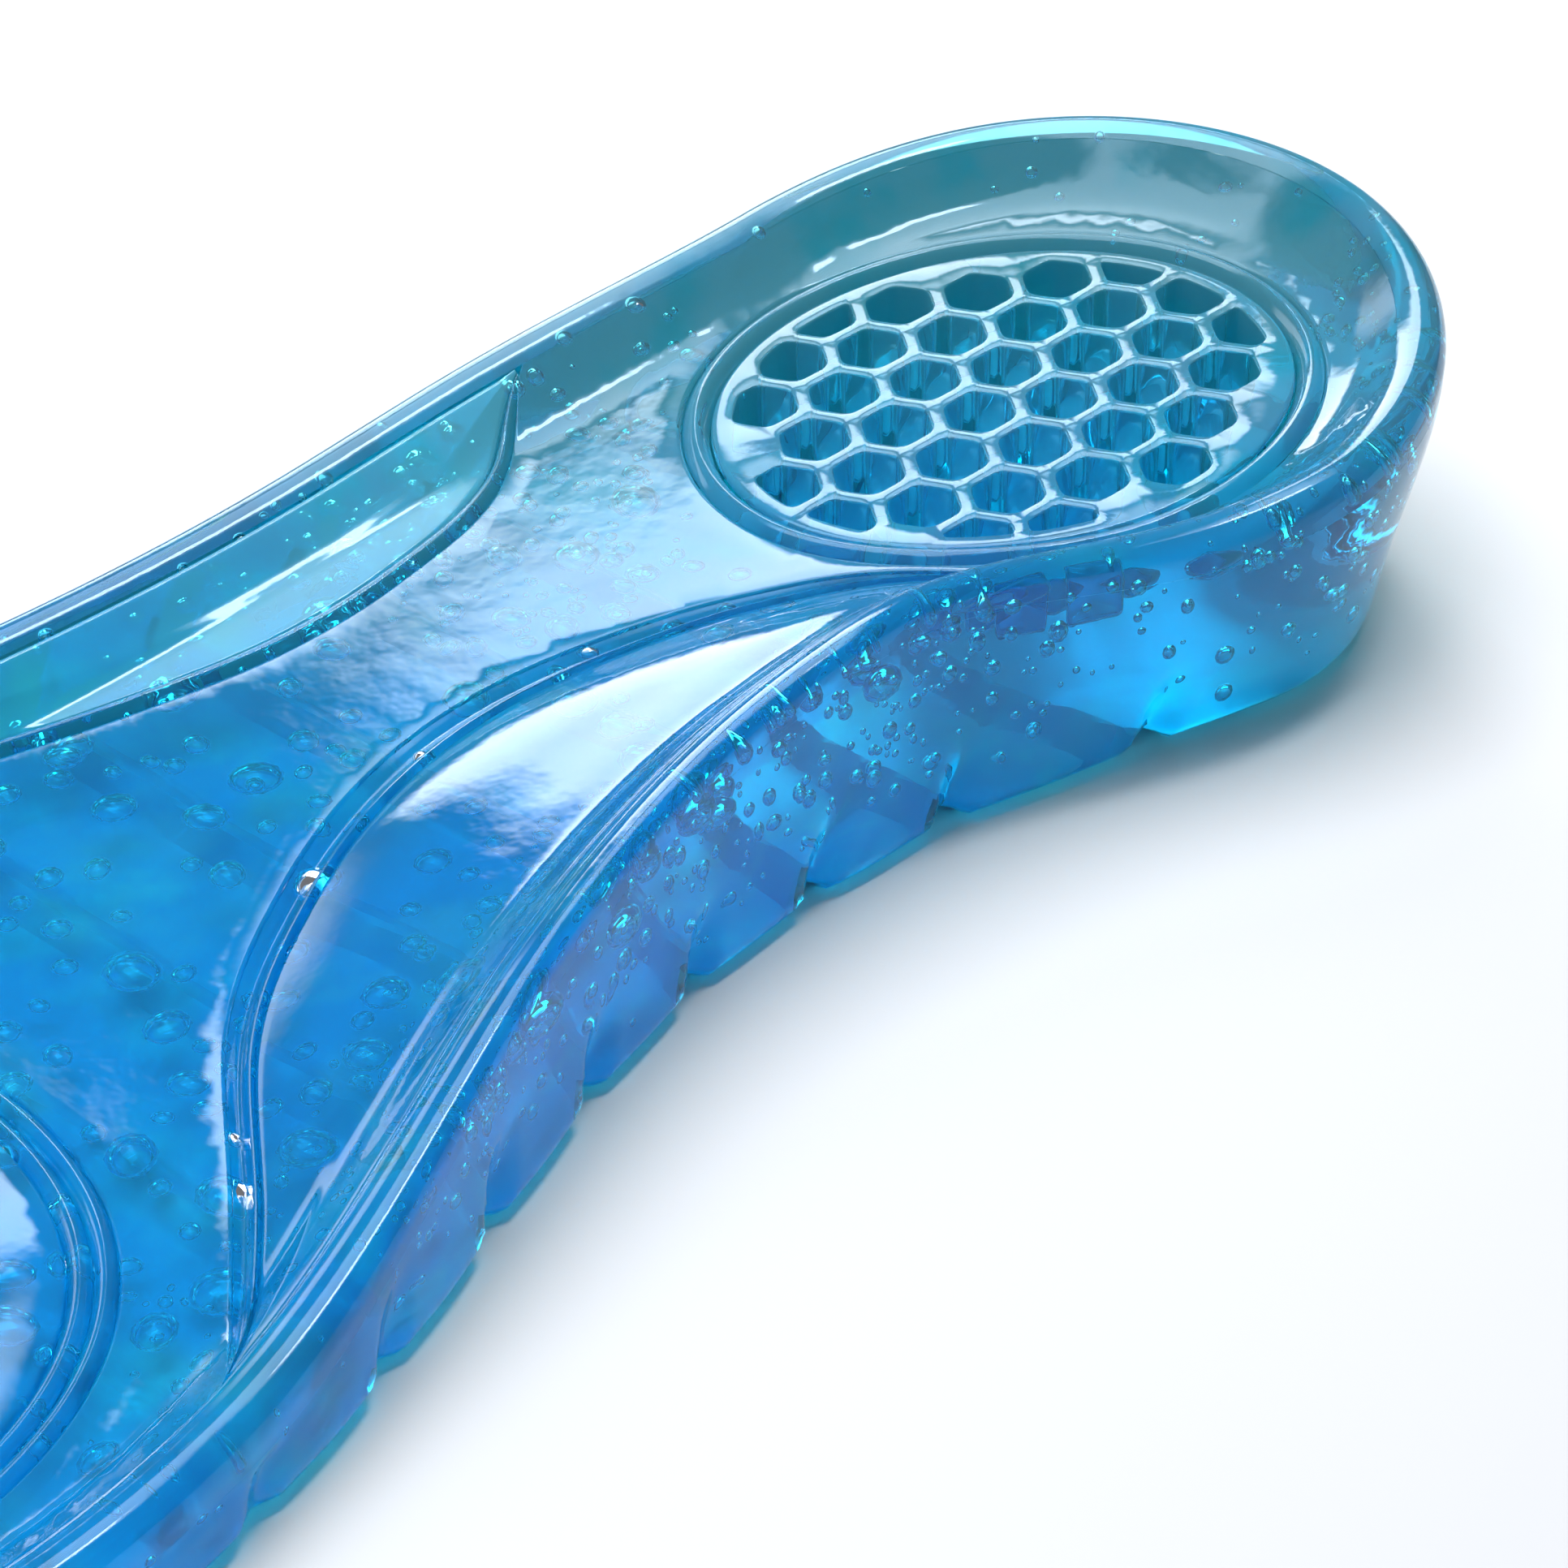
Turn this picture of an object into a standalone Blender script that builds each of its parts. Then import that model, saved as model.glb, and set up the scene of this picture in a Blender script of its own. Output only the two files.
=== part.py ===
"""Cushioned gel insole for a right shoe, as the separate gel pieces that meet at its seams.

Frame: +Y runs to the toe, +X to the outer side of the foot, +Z up, and the underside ribs rest on z = 0.
Sizes are in millimetres and become metres when a mesh is made.  "Station" is the distance from the back
of the heel along the foot, and "inset" is the distance inward from the outline.
"""
import math

import bmesh
import bpy
import numpy as np
from mathutils import Vector
from mathutils.geometry import delaunay_2d_cdt

MM = 0.001

# Outline: widths, and the stations where each one holds
LENGTH = 275.0
HEEL_WIDTH = 69.3
WAIST_WIDTH = 59.5
BALL_WIDTH = 92.0
TOE_WIDTH = 82.0
HEEL_FULL_TO = 34.0
WAIST_FROM = 78.0
WAIST_TO = 86.0
FOREFOOT_FROM_TOE = 91.0
FOREFOOT_STATION = LENGTH - FOREFOOT_FROM_TOE
BALL_FROM = FOREFOOT_STATION - 6.0
BALL_TO = FOREFOOT_STATION + 21.0
HEEL_ROUND = 37.0
TOE_ROUND = 60.0
TOE_FULLNESS = 2.3
# X of the foot's middle, before the whole insole is centred on its own box
BACK_SHIFT = 2.5
HEEL_SHIFT = 1.0
WAIST_SHIFT = 7.6
BALL_SHIFT = 0.6
TOE_SHIFT = -10.0

# Heights
HEEL_THICK = 18.0           # footbed above the ground at the heel pad's middle
FOREFOOT_THICK = 4.8
HEEL_SLOPE = 0.13           # fall of the footbed per millimetre toward the toe
SLOPE_BLEND = 12.0
SLOPE_FROM = 38.3            # station at which the heel is as thick as stated
RIM_RISE_HEEL = 4.5         # rim's crest above the footbed
RIM_RISE_ARCH = 4.2
RIM_RISE_TOE = 1.2
RIM_ARCH_STATION = 150.0
ARCH_RISE = 6.4             # extra height of the arch support at the inner edge
ARCH_SPAN = 30.0            # width over which it falls away toward the middle
ARCH_STATIONS = (44.0, 84.0, FOREFOOT_STATION - 66.0, FOREFOOT_STATION - 22.0)

# Layers, rim and side wall
GAP = 0.3                   # between neighbouring gel pieces
FOOTBED_LAYER = 2.4
RIM_WIDTH = 4.2
RIM_ROUND = 1.3             # how far the rim's edges fall below its crest
CUP_WALL = 5.4              # width of the slope between the rim and the footbed
CUP_CURVE = [(0.0, 1.0), (0.5, 0.36), (1.0, 0.0)]
WALL_LEAN_HEEL = 0.25       # how far the side wall leans in, per millimetre of height
WALL_LEAN_ARCH = 0.02
LEAN_STATIONS = (42.0, 72.0)
WALL_CORNER = 2.4
WALL_RINGS = (1.0, 0.4, 0.0)   # heights of the corner's rings, as shares of its height

# Underside ribs, between grooves that run across the foot
HEEL_RIB_FROM = 15.3
HEEL_RIB_TO = 53.6
RIB_FIRST = 72.0
RIB_PITCH = 14.6
RIB_TOE_MARGIN = 20.0
GROOVE_WIDTH = 4.0
GROOVE_TIP = 0.24           # width of a groove's blunt top, as a share of the groove's width
GROOVE_DEPTH_HEEL = 3.0
GROOVE_DEPTH_TOE = 0.9
GROOVE_UNDER = 1.0          # how far the cutting bars reach below the ground

# Heel pad: an oval of hexagonal cells on a soft core, inside a raised ring
HEEL_PAD_STATION = 39.8
HEEL_PAD_TURN = math.radians(-27.0)
HEEL_PAD_LONG = 1.12        # the oval's length over its width
HEEL_PAD_MARGIN = 0.6       # between the ring and the foot of the cup wall, at the sides
RING_WIDTH = 2.4
RING_RISE = 0.8
CELL_PITCH = 7.0
CELL_WALL = 1.4
CELL_TURN = math.radians(-7.0)
CELL_FRAME = 1.8
CELL_DEPTH = 6.0
CELL_PHASE = (-0.34, -0.48)   # shares of a step and of a row by which the cells miss the pad's middle
CELL_LEAST = 0.2            # share of a whole cell under which a cut cell is left solid
CORE_FLOOR = 3.6            # base gel left under the core

# Arch pad: a leaf along the inner side of the foot, with a band round its free edge
ARCH_PAD_FROM = 57.0
ARCH_PAD_TO = FOREFOOT_STATION - 26.0
ARCH_REACH = [(0.0, 0.0), (0.05, 8.0), (0.17, 17.0), (0.34, 24.4), (0.48, 26.8), (0.62, 25.8), (0.75, 21.6),
              (0.87, 11.2), (1.0, 0.0)]
ARCH_BAND_WIDTH = 3.2
ARCH_CROWN = 1.6
BAND_SINK = 0.5             # how far the band lies below the footbed

# Wing pad on the outer side of the foot, behind a thin ridge
WING_FROM = 66.0
WING_TO = FOREFOOT_STATION - 32.0
WING_REACH = [(0.0, 0.0), (0.1, 7.0), (0.27, 10.4), (0.4, 10.6), (0.55, 8.6), (0.7, 6.0), (0.85, 3.2),
              (1.0, 0.0)]
RIDGE_WIDTH = 1.8
RIDGE_RISE = 0.7
WING_CROWN = 1.0
STRIP_SHARE = 0.45          # most of a leaf's width that its edge strip may take, near the tips
TIP_CUT = 0.025             # share of a leaf's length left off at each sharp tip

# Forefoot pad: a rounded oval inside two thin rings
FOREFOOT_SHIFT = 1.5
FOREFOOT_LENGTH = 73.0
FOREFOOT_MARGIN = 0.7       # between the outer ring and the foot of the rim's slope
FOREFOOT_FULLNESS = 2.4
FOREFOOT_RING_WIDTH = 1.6
FOREFOOT_RING_RISE = 0.5
FOREFOOT_CROWN = 0.9
CROWN_REACH = 9.0           # inset at which a pad reaches its full crown

# Mesh fineness
SIDE_STEPS = 36
OVAL_STEPS = 44
LEAF_STEPS = 18
SPACING = 9.0
CLEAR_OF_LINES = 0.4        # share of the spacing that filling points keep from every line
SAME_POINT = 1e-4           # plan points nearer than this are one

GEL_ROUGHNESS = 0.12

CLEAR_GEL = (0.10, 0.62, 0.86)
DEEP_GEL = (0.03, 0.42, 0.80)
AQUA_GEL = (0.16, 0.74, 0.86)


def eased(station, rows):
    """Value at each station, eased with a half cosine from one (station, value) row to the next."""
    station = np.asarray(station, float)
    value = np.full(station.shape, float(rows[0][1]))
    for (start, low), (end, high) in zip(rows, rows[1:]):
        share = np.clip((station - start) / (end - start), 0.0, 1.0)
        value += (high - low) * (0.5 - 0.5 * np.cos(np.pi * share))
    return value


def spline(at, rows):
    """Smooth curve through (place, value) rows, read at the given places."""
    places, values = np.array(rows, float).T
    slopes = np.gradient(values, places)
    piece = np.clip(np.searchsorted(places, at) - 1, 0, len(places) - 2)
    span = places[piece + 1] - places[piece]
    t = np.clip((at - places[piece]) / span, 0.0, 1.0)
    start = (1 + 2 * t) * (1 - t) ** 2 * values[piece] + t * (1 - t) ** 2 * span * slopes[piece]
    end = t * t * (3 - 2 * t) * values[piece + 1] + t * t * (t - 1) * span * slopes[piece + 1]
    return start + end


def width_at(station):
    """Full width of the insole, rounded off at both ends."""
    width = eased(station, [(0, HEEL_WIDTH), (HEEL_FULL_TO, HEEL_WIDTH), (WAIST_FROM, WAIST_WIDTH),
                            (WAIST_TO, WAIST_WIDTH), (BALL_FROM, BALL_WIDTH), (BALL_TO, BALL_WIDTH),
                            (LENGTH, TOE_WIDTH)])
    heel = np.clip(1 - station / HEEL_ROUND, 0, 1)
    toe = np.clip(1 - (LENGTH - station) / TOE_ROUND, 0, 1)
    return width * np.sqrt(1 - heel ** 2) * (1 - toe ** TOE_FULLNESS) ** (1 / TOE_FULLNESS)


def middle_at(station):
    return eased(station, [(0, BACK_SHIFT), (HEEL_FULL_TO, HEEL_SHIFT), (WAIST_FROM, WAIST_SHIFT),
                           (WAIST_TO, WAIST_SHIFT), (BALL_FROM, BALL_SHIFT), (LENGTH, TOE_SHIFT)])


def raw_outline():
    """Closed outline, counter-clockwise from above: up the outer side and back down the inner one."""
    station = LENGTH * (0.5 - 0.5 * np.cos(np.linspace(0, np.pi, SIDE_STEPS + 1)))
    half = width_at(station) / 2
    outer = np.column_stack([middle_at(station) + half, station])
    inner = np.column_stack([middle_at(station) - half, station])
    return np.vstack([outer, inner[-2:0:-1]])


RAW_OUTLINE = raw_outline()
CENTRE = (RAW_OUTLINE.min(axis=0) + RAW_OUTLINE.max(axis=0)) / 2
OUTLINE = RAW_OUTLINE - CENTRE
SLOPE_END = SLOPE_FROM + (HEEL_THICK - FOREFOOT_THICK) / HEEL_SLOPE


def offset(loop, inset):
    """The counter-clockwise loop moved inward by the inset, along the normals of its corners."""
    along = np.roll(loop, -1, axis=0) - np.roll(loop, 1, axis=0)
    along /= np.linalg.norm(along, axis=1)[:, None]
    return loop + np.reshape(inset, (-1, 1)) * np.column_stack([-along[:, 1], along[:, 0]])


def distance(points, loop):
    """Distance of each point from the nearest stretch of the closed loop."""
    step = np.roll(loop, -1, axis=0) - loop
    away = points[:, None, :] - loop[None, :, :]
    share = np.clip((away * step).sum(2) / (step * step).sum(1), 0, 1)
    return np.linalg.norm(away - share[:, :, None] * step, axis=2).min(1)


def inside(points, loop):
    """True for each point inside the loop, by the even-odd count of crossings to its right."""
    x, y = points[:, 0, None], points[:, 1, None]
    x0, y0 = loop.T
    x1, y1 = np.roll(loop, -1, axis=0).T
    crosses = (y0 <= y) != (y1 <= y)
    reach = x0 + (y - y0) * (x1 - x0) / np.where(y1 == y0, 1.0, y1 - y0)
    return (crosses & (x < reach)).sum(1) % 2 == 1


def station_of(points):
    return points[:, 1] + CENTRE[1]


def side_x(station, inset, side):
    """X of the outline's outer (+1) or inner (-1) side, moved inward, at the given stations."""
    loop = offset(OUTLINE, inset)
    line = loop[:SIDE_STEPS + 1] if side > 0 else np.vstack([loop[SIDE_STEPS:], loop[:1]])[::-1]
    return np.interp(station - CENTRE[1], line[:, 1], line[:, 0])


def slope_height(station):
    """Height of the footbed's middle: a straight fall from the heel that eases into the flat forefoot."""
    return FOREFOOT_THICK + HEEL_SLOPE * SLOPE_BLEND * np.logaddexp(0, (SLOPE_END - station) / SLOPE_BLEND)


def rim_rise(station):
    return eased(station, [(0, RIM_RISE_HEEL), (HEEL_FULL_TO, RIM_RISE_HEEL), (RIM_ARCH_STATION, RIM_RISE_ARCH),
                           (LENGTH, RIM_RISE_TOE)])


def arch(points):
    """Height added by the arch support, greatest along the inner side."""
    start, full_from, full_to, stop = ARCH_STATIONS
    station = station_of(points)
    swell = eased(station, [(start, 0), (full_from, ARCH_RISE), (full_to, ARCH_RISE), (stop, 0)])
    share = (points[:, 0] - side_x(station, 0, -1)) / ARCH_SPAN
    return swell * np.clip(1 - share, 0, 1) ** 2


def footbed(points):
    """Height of the footbed, which climbs the cup wall to the rim's inner edge."""
    share = (distance(points, OUTLINE) - RIM_WIDTH) / CUP_WALL
    places, climbs = zip(*CUP_CURVE)
    station = station_of(points)
    climb = (rim_rise(station) - RIM_ROUND) * np.interp(share, places, climbs)
    return slope_height(station) + arch(points) + climb


def rim_top(points):
    """Rounded crest of the rim, lowest at its two edges."""
    across = np.clip(distance(points, OUTLINE) / RIM_WIDTH, 0, 1) * 2 - 1
    station = station_of(points)
    return slope_height(station) + arch(points) + rim_rise(station) - RIM_ROUND * across ** 2


def bed_bottom(points):
    """Underside of everything that lies on the base."""
    return footbed(points) - FOOTBED_LAYER


def base_top(points):
    return bed_bottom(points) - GAP


def raised(amount):
    """Height function of a flat pad or bead that stands this far above the footbed."""
    return lambda points: footbed(points) + amount


def level(height):
    """Height function of a flat surface."""
    return lambda points: np.full(len(points), height)


def crowned(loop, crown):
    """Height function of a pad that swells from the loop's edge to its full crown."""
    def height(points):
        share = np.clip(distance(points, loop) / CROWN_REACH, 0, 1)
        return footbed(points) + crown * (1 - (1 - share) ** 2)
    return height


def oval(centre, half_width, half_length, turn=0.0, fullness=2.0, steps=OVAL_STEPS):
    """Closed oval, counter-clockwise; a fullness over 2 fills its corners."""
    angle = np.linspace(0, 2 * np.pi, steps, endpoint=False)
    cosine, sine = np.cos(angle), np.sin(angle)
    x = half_width * np.sign(cosine) * np.abs(cosine) ** (2 / fullness)
    y = half_length * np.sign(sine) * np.abs(sine) ** (2 / fullness)
    spin = np.array([[math.cos(turn), -math.sin(turn)], [math.sin(turn), math.cos(turn)]])
    return np.asarray(centre) + np.column_stack([x, y]) @ spin.T


def filler(loops, creases, spacing):
    """Staggered points inside the first loop, outside the others and clear of every line."""
    low, high = loops[0].min(axis=0), loops[0].max(axis=0)
    rows = np.arange(low[1] + spacing / 2, high[1], spacing * math.sqrt(0.75))
    columns = np.arange(low[0], high[0], spacing)
    grid = np.array([(x + spacing / 2 * (row % 2), y) for row, y in enumerate(rows) for x in columns])
    keep = inside(grid, loops[0])
    for hole in loops[1:]:
        keep &= ~inside(grid, hole)
    for line in [*loops, *creases]:
        keep &= distance(grid, line) > spacing * CLEAR_OF_LINES
    return grid[keep]


def plan_mesh(loops, creases=(), spacing=SPACING):
    """Triangles of the area inside the first loop and outside the others; creases stay as edges."""
    rings = [*loops, *creases]
    starts = np.cumsum([0] + [len(ring) for ring in rings])
    edges = [(int(start) + i, int(start) + (i + 1) % len(ring))
             for start, ring in zip(starts, rings) for i in range(len(ring))]
    points = np.vstack(rings)
    if spacing:
        points = np.vstack([points, filler(loops, creases, spacing)])
    corners, _, faces, *_ = delaunay_2d_cdt([Vector(p) for p in points], edges, [], 0, SAME_POINT)
    corners = np.array([corner[:] for corner in corners])
    faces = np.array(faces)
    middle = corners[faces].mean(axis=1)
    keep = inside(middle, loops[0])
    for hole in loops[1:]:
        keep &= ~inside(middle, hole)
    return corners, faces[keep]


def gel_material(name, colour):
    material = bpy.data.materials.new(name)
    material.use_nodes = True
    shader = material.node_tree.nodes["Principled BSDF"]
    shader.inputs["Base Color"].default_value = (*colour, 1.0)
    shader.inputs["Roughness"].default_value = GEL_ROUGHNESS
    shader.inputs["Metallic"].default_value = 0.0
    return material


def add_object(name, bm, colour):
    """Closes the bmesh into a named object with its own gel material."""
    bmesh.ops.recalc_face_normals(bm, faces=bm.faces)
    mesh = bpy.data.meshes.new(name)
    bm.to_mesh(mesh)
    bm.free()
    mesh.materials.append(gel_material(name + "_gel", colour))
    thing = bpy.data.objects.new(name, mesh)
    bpy.context.scene.collection.objects.link(thing)
    return thing


def layer(name, loops, bottom, top, colour, creases=(), spacing=SPACING):
    """A gel piece: the plan between the loops, extruded from its bottom surface to its top surface."""
    corners, faces = plan_mesh(loops, creases, spacing)
    used = np.unique(faces)
    bm = bmesh.new()
    heights = bottom(corners)
    verts = {int(i): bm.verts.new((*(corners[i] * MM), heights[i] * MM)) for i in used}
    plan = [bm.faces.new([verts[int(i)] for i in face]) for face in faces]
    lifted = bmesh.ops.extrude_face_region(bm, geom=plan)["geom"]
    upper = [part for part in lifted if isinstance(part, bmesh.types.BMVert)]
    tops = top(np.array([vert.co[:2] for vert in upper]) / MM)
    for vert, height in zip(upper, tops):
        vert.co.z = height * MM
    return add_object(name, bm, colour)


def boolean_cut(thing, cutter, name):
    """Cuts the cutter out of the object and hides the cutter."""
    cutter.hide_render = True
    cutter.display_type = 'WIRE'
    modifier = thing.modifiers.new(name, 'BOOLEAN')
    modifier.operation = 'DIFFERENCE'
    modifier.solver = 'EXACT'
    modifier.object = cutter


def beaded(loop, width, rise):
    """Height function of a bead of the given width inside the loop, rounded from edge to edge."""
    def height(points):
        across = np.clip(distance(points, loop) / width, 0, 1) * 2 - 1
        return footbed(points) + rise * (1 - across ** 2)
    return height


def bead_piece(name, loop, inner_loop, width, rise, colour):
    """A closed bead between two loops, with one crease along its crest."""
    crest = (loop + inner_loop) / 2
    return layer(name, [loop, inner_loop], bed_bottom, beaded(loop, width, rise), colour,
                 creases=[crest], spacing=None)


def between(one, other, y):
    """Counter-clockwise loop between two lines that run side by side toward the toe."""
    right = np.column_stack([np.maximum(one, other), y])
    left = np.column_stack([np.minimum(one, other), y])
    return np.vstack([right, left[::-1]])


def leaf_loops(side, start, stop, reach_rows, strip_width):
    """Loops of a leaf pad along the rim, of the strip round its free edge, and of both together."""
    share = np.linspace(TIP_CUT, 1 - TIP_CUT, LEAF_STEPS + 1)
    station = start + share * (stop - start)
    root = side_x(station, RIM_WIDTH + GAP, side)
    reach = spline(share, reach_rows)
    strip = np.minimum(strip_width, STRIP_SHARE * reach)
    y = station - CENTRE[1]
    pad = between(root, root - side * (reach - strip - GAP), y)
    edge = between(root - side * (reach - strip), root - side * reach, y)
    return pad, edge, between(root, root - side * reach, y)


def heel_oval(inset):
    """The heel pad's oval outline, moved inward from the ring's outer edge."""
    half_width = HEEL_WIDTH / 2 - RIM_WIDTH - CUP_WALL - HEEL_PAD_MARGIN
    centre = (middle_at(HEEL_PAD_STATION) - CENTRE[0], HEEL_PAD_STATION - CENTRE[1])
    return oval(centre, half_width - inset, half_width * HEEL_PAD_LONG - inset, HEEL_PAD_TURN)


def forefoot_oval(inset):
    half_width = BALL_WIDTH / 2 - RIM_WIDTH - CUP_WALL - FOREFOOT_MARGIN
    centre = (FOREFOOT_SHIFT - CENTRE[0], FOREFOOT_STATION - CENTRE[1])
    return oval(centre, half_width - inset, FOREFOOT_LENGTH / 2 - inset, fullness=FOREFOOT_FULLNESS)


ARCH_PAD, ARCH_BAND, ARCH_WHOLE = leaf_loops(-1, ARCH_PAD_FROM, ARCH_PAD_TO, ARCH_REACH, ARCH_BAND_WIDTH)
WING_PAD, WING_RIDGE, WING_WHOLE = leaf_loops(1, WING_FROM, WING_TO, WING_REACH, RIDGE_WIDTH)
CUP_LINES = [offset(OUTLINE, RIM_WIDTH + CUP_WALL * place) for place, _ in CUP_CURVE]


def clipped(polygon, loop):
    """The part of a convex polygon that lies inside a convex counter-clockwise loop."""
    for start, end in zip(loop, np.roll(loop, -1, axis=0)):
        along = end - start
        side = along[0] * (polygon[:, 1] - start[1]) - along[1] * (polygon[:, 0] - start[0])
        kept = []
        for i in range(len(polygon)):
            j = (i + 1) % len(polygon)
            if side[i] >= 0:
                kept.append(polygon[i])
            if side[i] * side[j] < 0:
                kept.append(polygon[i] + (polygon[j] - polygon[i]) * side[i] / (side[i] - side[j]))
        if len(kept) < 3:
            return None
        polygon = np.array(kept)
    return polygon


def area(polygon):
    x, y = polygon.T
    return abs(np.dot(x, np.roll(y, -1)) - np.dot(y, np.roll(x, -1))) / 2


def cell_loops():
    """Hexagonal cells on a triangular lattice, cut off where the pad's solid frame begins."""
    frame = heel_oval(RING_WIDTH + GAP + CELL_FRAME)
    middle = frame.mean(axis=0)
    corner_angles = CELL_TURN + np.radians(30 + 60 * np.arange(6))
    radius = (CELL_PITCH - CELL_WALL) / math.sqrt(3)
    hexagon = radius * np.column_stack([np.cos(corner_angles), np.sin(corner_angles)])
    step = CELL_PITCH * np.array([math.cos(CELL_TURN), math.sin(CELL_TURN)])
    row_turn = CELL_TURN + math.radians(60)
    row_step = CELL_PITCH * np.array([math.cos(row_turn), math.sin(row_turn)])
    reach = int(np.ptp(frame, axis=0).max() / CELL_PITCH) + 1
    cells = []
    for row in range(-reach, reach + 1):
        for column in range(-reach, reach + 1):
            place = middle + (CELL_PHASE[0] + column) * step + (CELL_PHASE[1] + row) * row_step
            cell = clipped(place + hexagon, frame)
            if cell is not None and area(cell) > CELL_LEAST * area(hexagon):
                cells.append(cell)
    return cells


def heel_pieces():
    """Ring, cellular pad and the soft core under it."""
    bead_piece("heel_ring", heel_oval(0), heel_oval(RING_WIDTH), RING_WIDTH, RING_RISE, DEEP_GEL)
    pad = heel_oval(RING_WIDTH + GAP)
    layer("heel_honeycomb_pad", [pad, *cell_loops()], raised(-CELL_DEPTH), raised(0.0), CLEAR_GEL, spacing=None)
    layer("heel_core", [pad], level(CORE_FLOOR + GAP), raised(-CELL_DEPTH - GAP), DEEP_GEL)


def arch_pieces():
    layer("arch_pad", [ARCH_PAD], bed_bottom, crowned(ARCH_PAD, ARCH_CROWN), DEEP_GEL)
    layer("arch_band", [ARCH_BAND], bed_bottom, raised(-BAND_SINK), DEEP_GEL, spacing=None)


def wing_pieces():
    layer("wing_pad", [WING_PAD], bed_bottom, crowned(WING_PAD, WING_CROWN), AQUA_GEL)
    layer("wing_ridge", [WING_RIDGE], bed_bottom, raised(RIDGE_RISE), CLEAR_GEL, spacing=None)


def forefoot_pieces():
    """The forefoot pad and the two rings round it, each a gap apart."""
    inset = 0.0
    for name in ("forefoot_outer_ring", "forefoot_inner_ring"):
        bead_piece(name, forefoot_oval(inset), forefoot_oval(inset + FOREFOOT_RING_WIDTH),
                   FOREFOOT_RING_WIDTH, FOREFOOT_RING_RISE, CLEAR_GEL)
        inset += FOREFOOT_RING_WIDTH + GAP
    pad = forefoot_oval(inset)
    layer("forefoot_pad", [pad], bed_bottom, crowned(pad, FOREFOOT_CROWN), DEEP_GEL)


def edge_rim():
    loops = [OUTLINE, offset(OUTLINE, RIM_WIDTH)]
    creases = [offset(OUTLINE, RIM_WIDTH * share) for share in (0.25, 0.5, 0.75)]
    layer("edge_rim", loops, bed_bottom, rim_top, CLEAR_GEL, creases, spacing=None)


def footbed_layer():
    """The footbed's skin, with an opening for each pad."""
    holes = [heel_oval(-GAP), offset(ARCH_WHOLE, -GAP), offset(WING_WHOLE, -GAP), forefoot_oval(-GAP)]
    layer("footbed_layer", [offset(OUTLINE, RIM_WIDTH + GAP), *holes], bed_bottom, footbed, CLEAR_GEL,
          creases=CUP_LINES[1:])


def wall_levels(top):
    """Rings of the side wall from its top to the ground, as (height, inset) arrays round the outline."""
    corner = np.minimum(WALL_CORNER, top / 2)
    lean = eased(station_of(OUTLINE), list(zip(LEAN_STATIONS, (WALL_LEAN_HEEL, WALL_LEAN_ARCH))))
    for share in WALL_RINGS:
        height = corner * share
        curl = corner * (1 - np.sqrt(1 - (1 - share) ** 2))
        yield height, lean * (top - height) + curl


def base_solid():
    """Base with its leaning side wall, before its grooves and the heel pocket are cut."""
    corners, faces = plan_mesh([OUTLINE], CUP_LINES)
    heights = base_top(corners)
    bm = bmesh.new()
    verts = [bm.verts.new((*(corner * MM), height * MM)) for corner, height in zip(corners, heights)]
    for face in faces:
        bm.faces.new([verts[int(i)] for i in face])
    ring = verts[:len(OUTLINE)]
    for height, inset in wall_levels(heights[:len(OUTLINE)]):
        places = offset(OUTLINE, inset)
        lower = [bm.verts.new((x * MM, y * MM, z * MM)) for (x, y), z in zip(places, height)]
        for i in range(len(ring)):
            j = (i + 1) % len(ring)
            bm.faces.new([ring[j], ring[i], lower[i], lower[j]])
        ring = lower
    bm.faces.new(ring[::-1])
    return add_object("gel_base", bm, CLEAR_GEL)


def groove_stations():
    first = [HEEL_RIB_FROM, HEEL_RIB_TO]
    return first + list(np.arange(RIB_FIRST, LENGTH - RIB_TOE_MARGIN, RIB_PITCH))


def groove_cutter():
    """Bars across the underside, one for each groove, with a blunt V section that is shallower at the toe."""
    bm = bmesh.new()
    reach = (BALL_WIDTH + HEEL_WIDTH) / 2
    for station in groove_stations():
        depth = float(eased(station, [(0, GROOVE_DEPTH_HEEL), (WAIST_TO, GROOVE_DEPTH_HEEL),
                                      (BALL_FROM, GROOVE_DEPTH_TOE)]))
        tip = GROOVE_TIP / 2
        foot = [(-0.5, 0.0), (-0.5, -GROOVE_UNDER), (0.5, -GROOVE_UNDER), (0.5, 0.0)]
        section = foot + [(tip, depth), (-tip, depth)]
        rows = [(GROOVE_WIDTH * across + station - CENTRE[1], height) for across, height in section]
        left = [bm.verts.new((-reach * MM, y * MM, z * MM)) for y, z in rows]
        face = bm.faces.new(left)
        moved = bmesh.ops.extrude_face_region(bm, geom=[face])["geom"]
        for vert in moved:
            if isinstance(vert, bmesh.types.BMVert):
                vert.co.x = reach * MM
    return add_object("groove_cutter", bm, CLEAR_GEL)


def pocket_cutter():
    """Oval block that opens the base for the core and the lower half of the cellular pad."""
    return layer("pocket_cutter", [heel_oval(RING_WIDTH)], level(CORE_FLOOR), raised(RING_RISE), CLEAR_GEL,
                 spacing=None)


def gel_base():
    base = base_solid()
    boolean_cut(base, pocket_cutter(), "heel_pocket")
    boolean_cut(base, groove_cutter(), "rib_grooves")


def main():
    for thing in list(bpy.data.objects):
        bpy.data.objects.remove(thing)
    gel_base()
    footbed_layer()
    edge_rim()
    heel_pieces()
    arch_pieces()
    wing_pieces()
    forefoot_pieces()


main()
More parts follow.
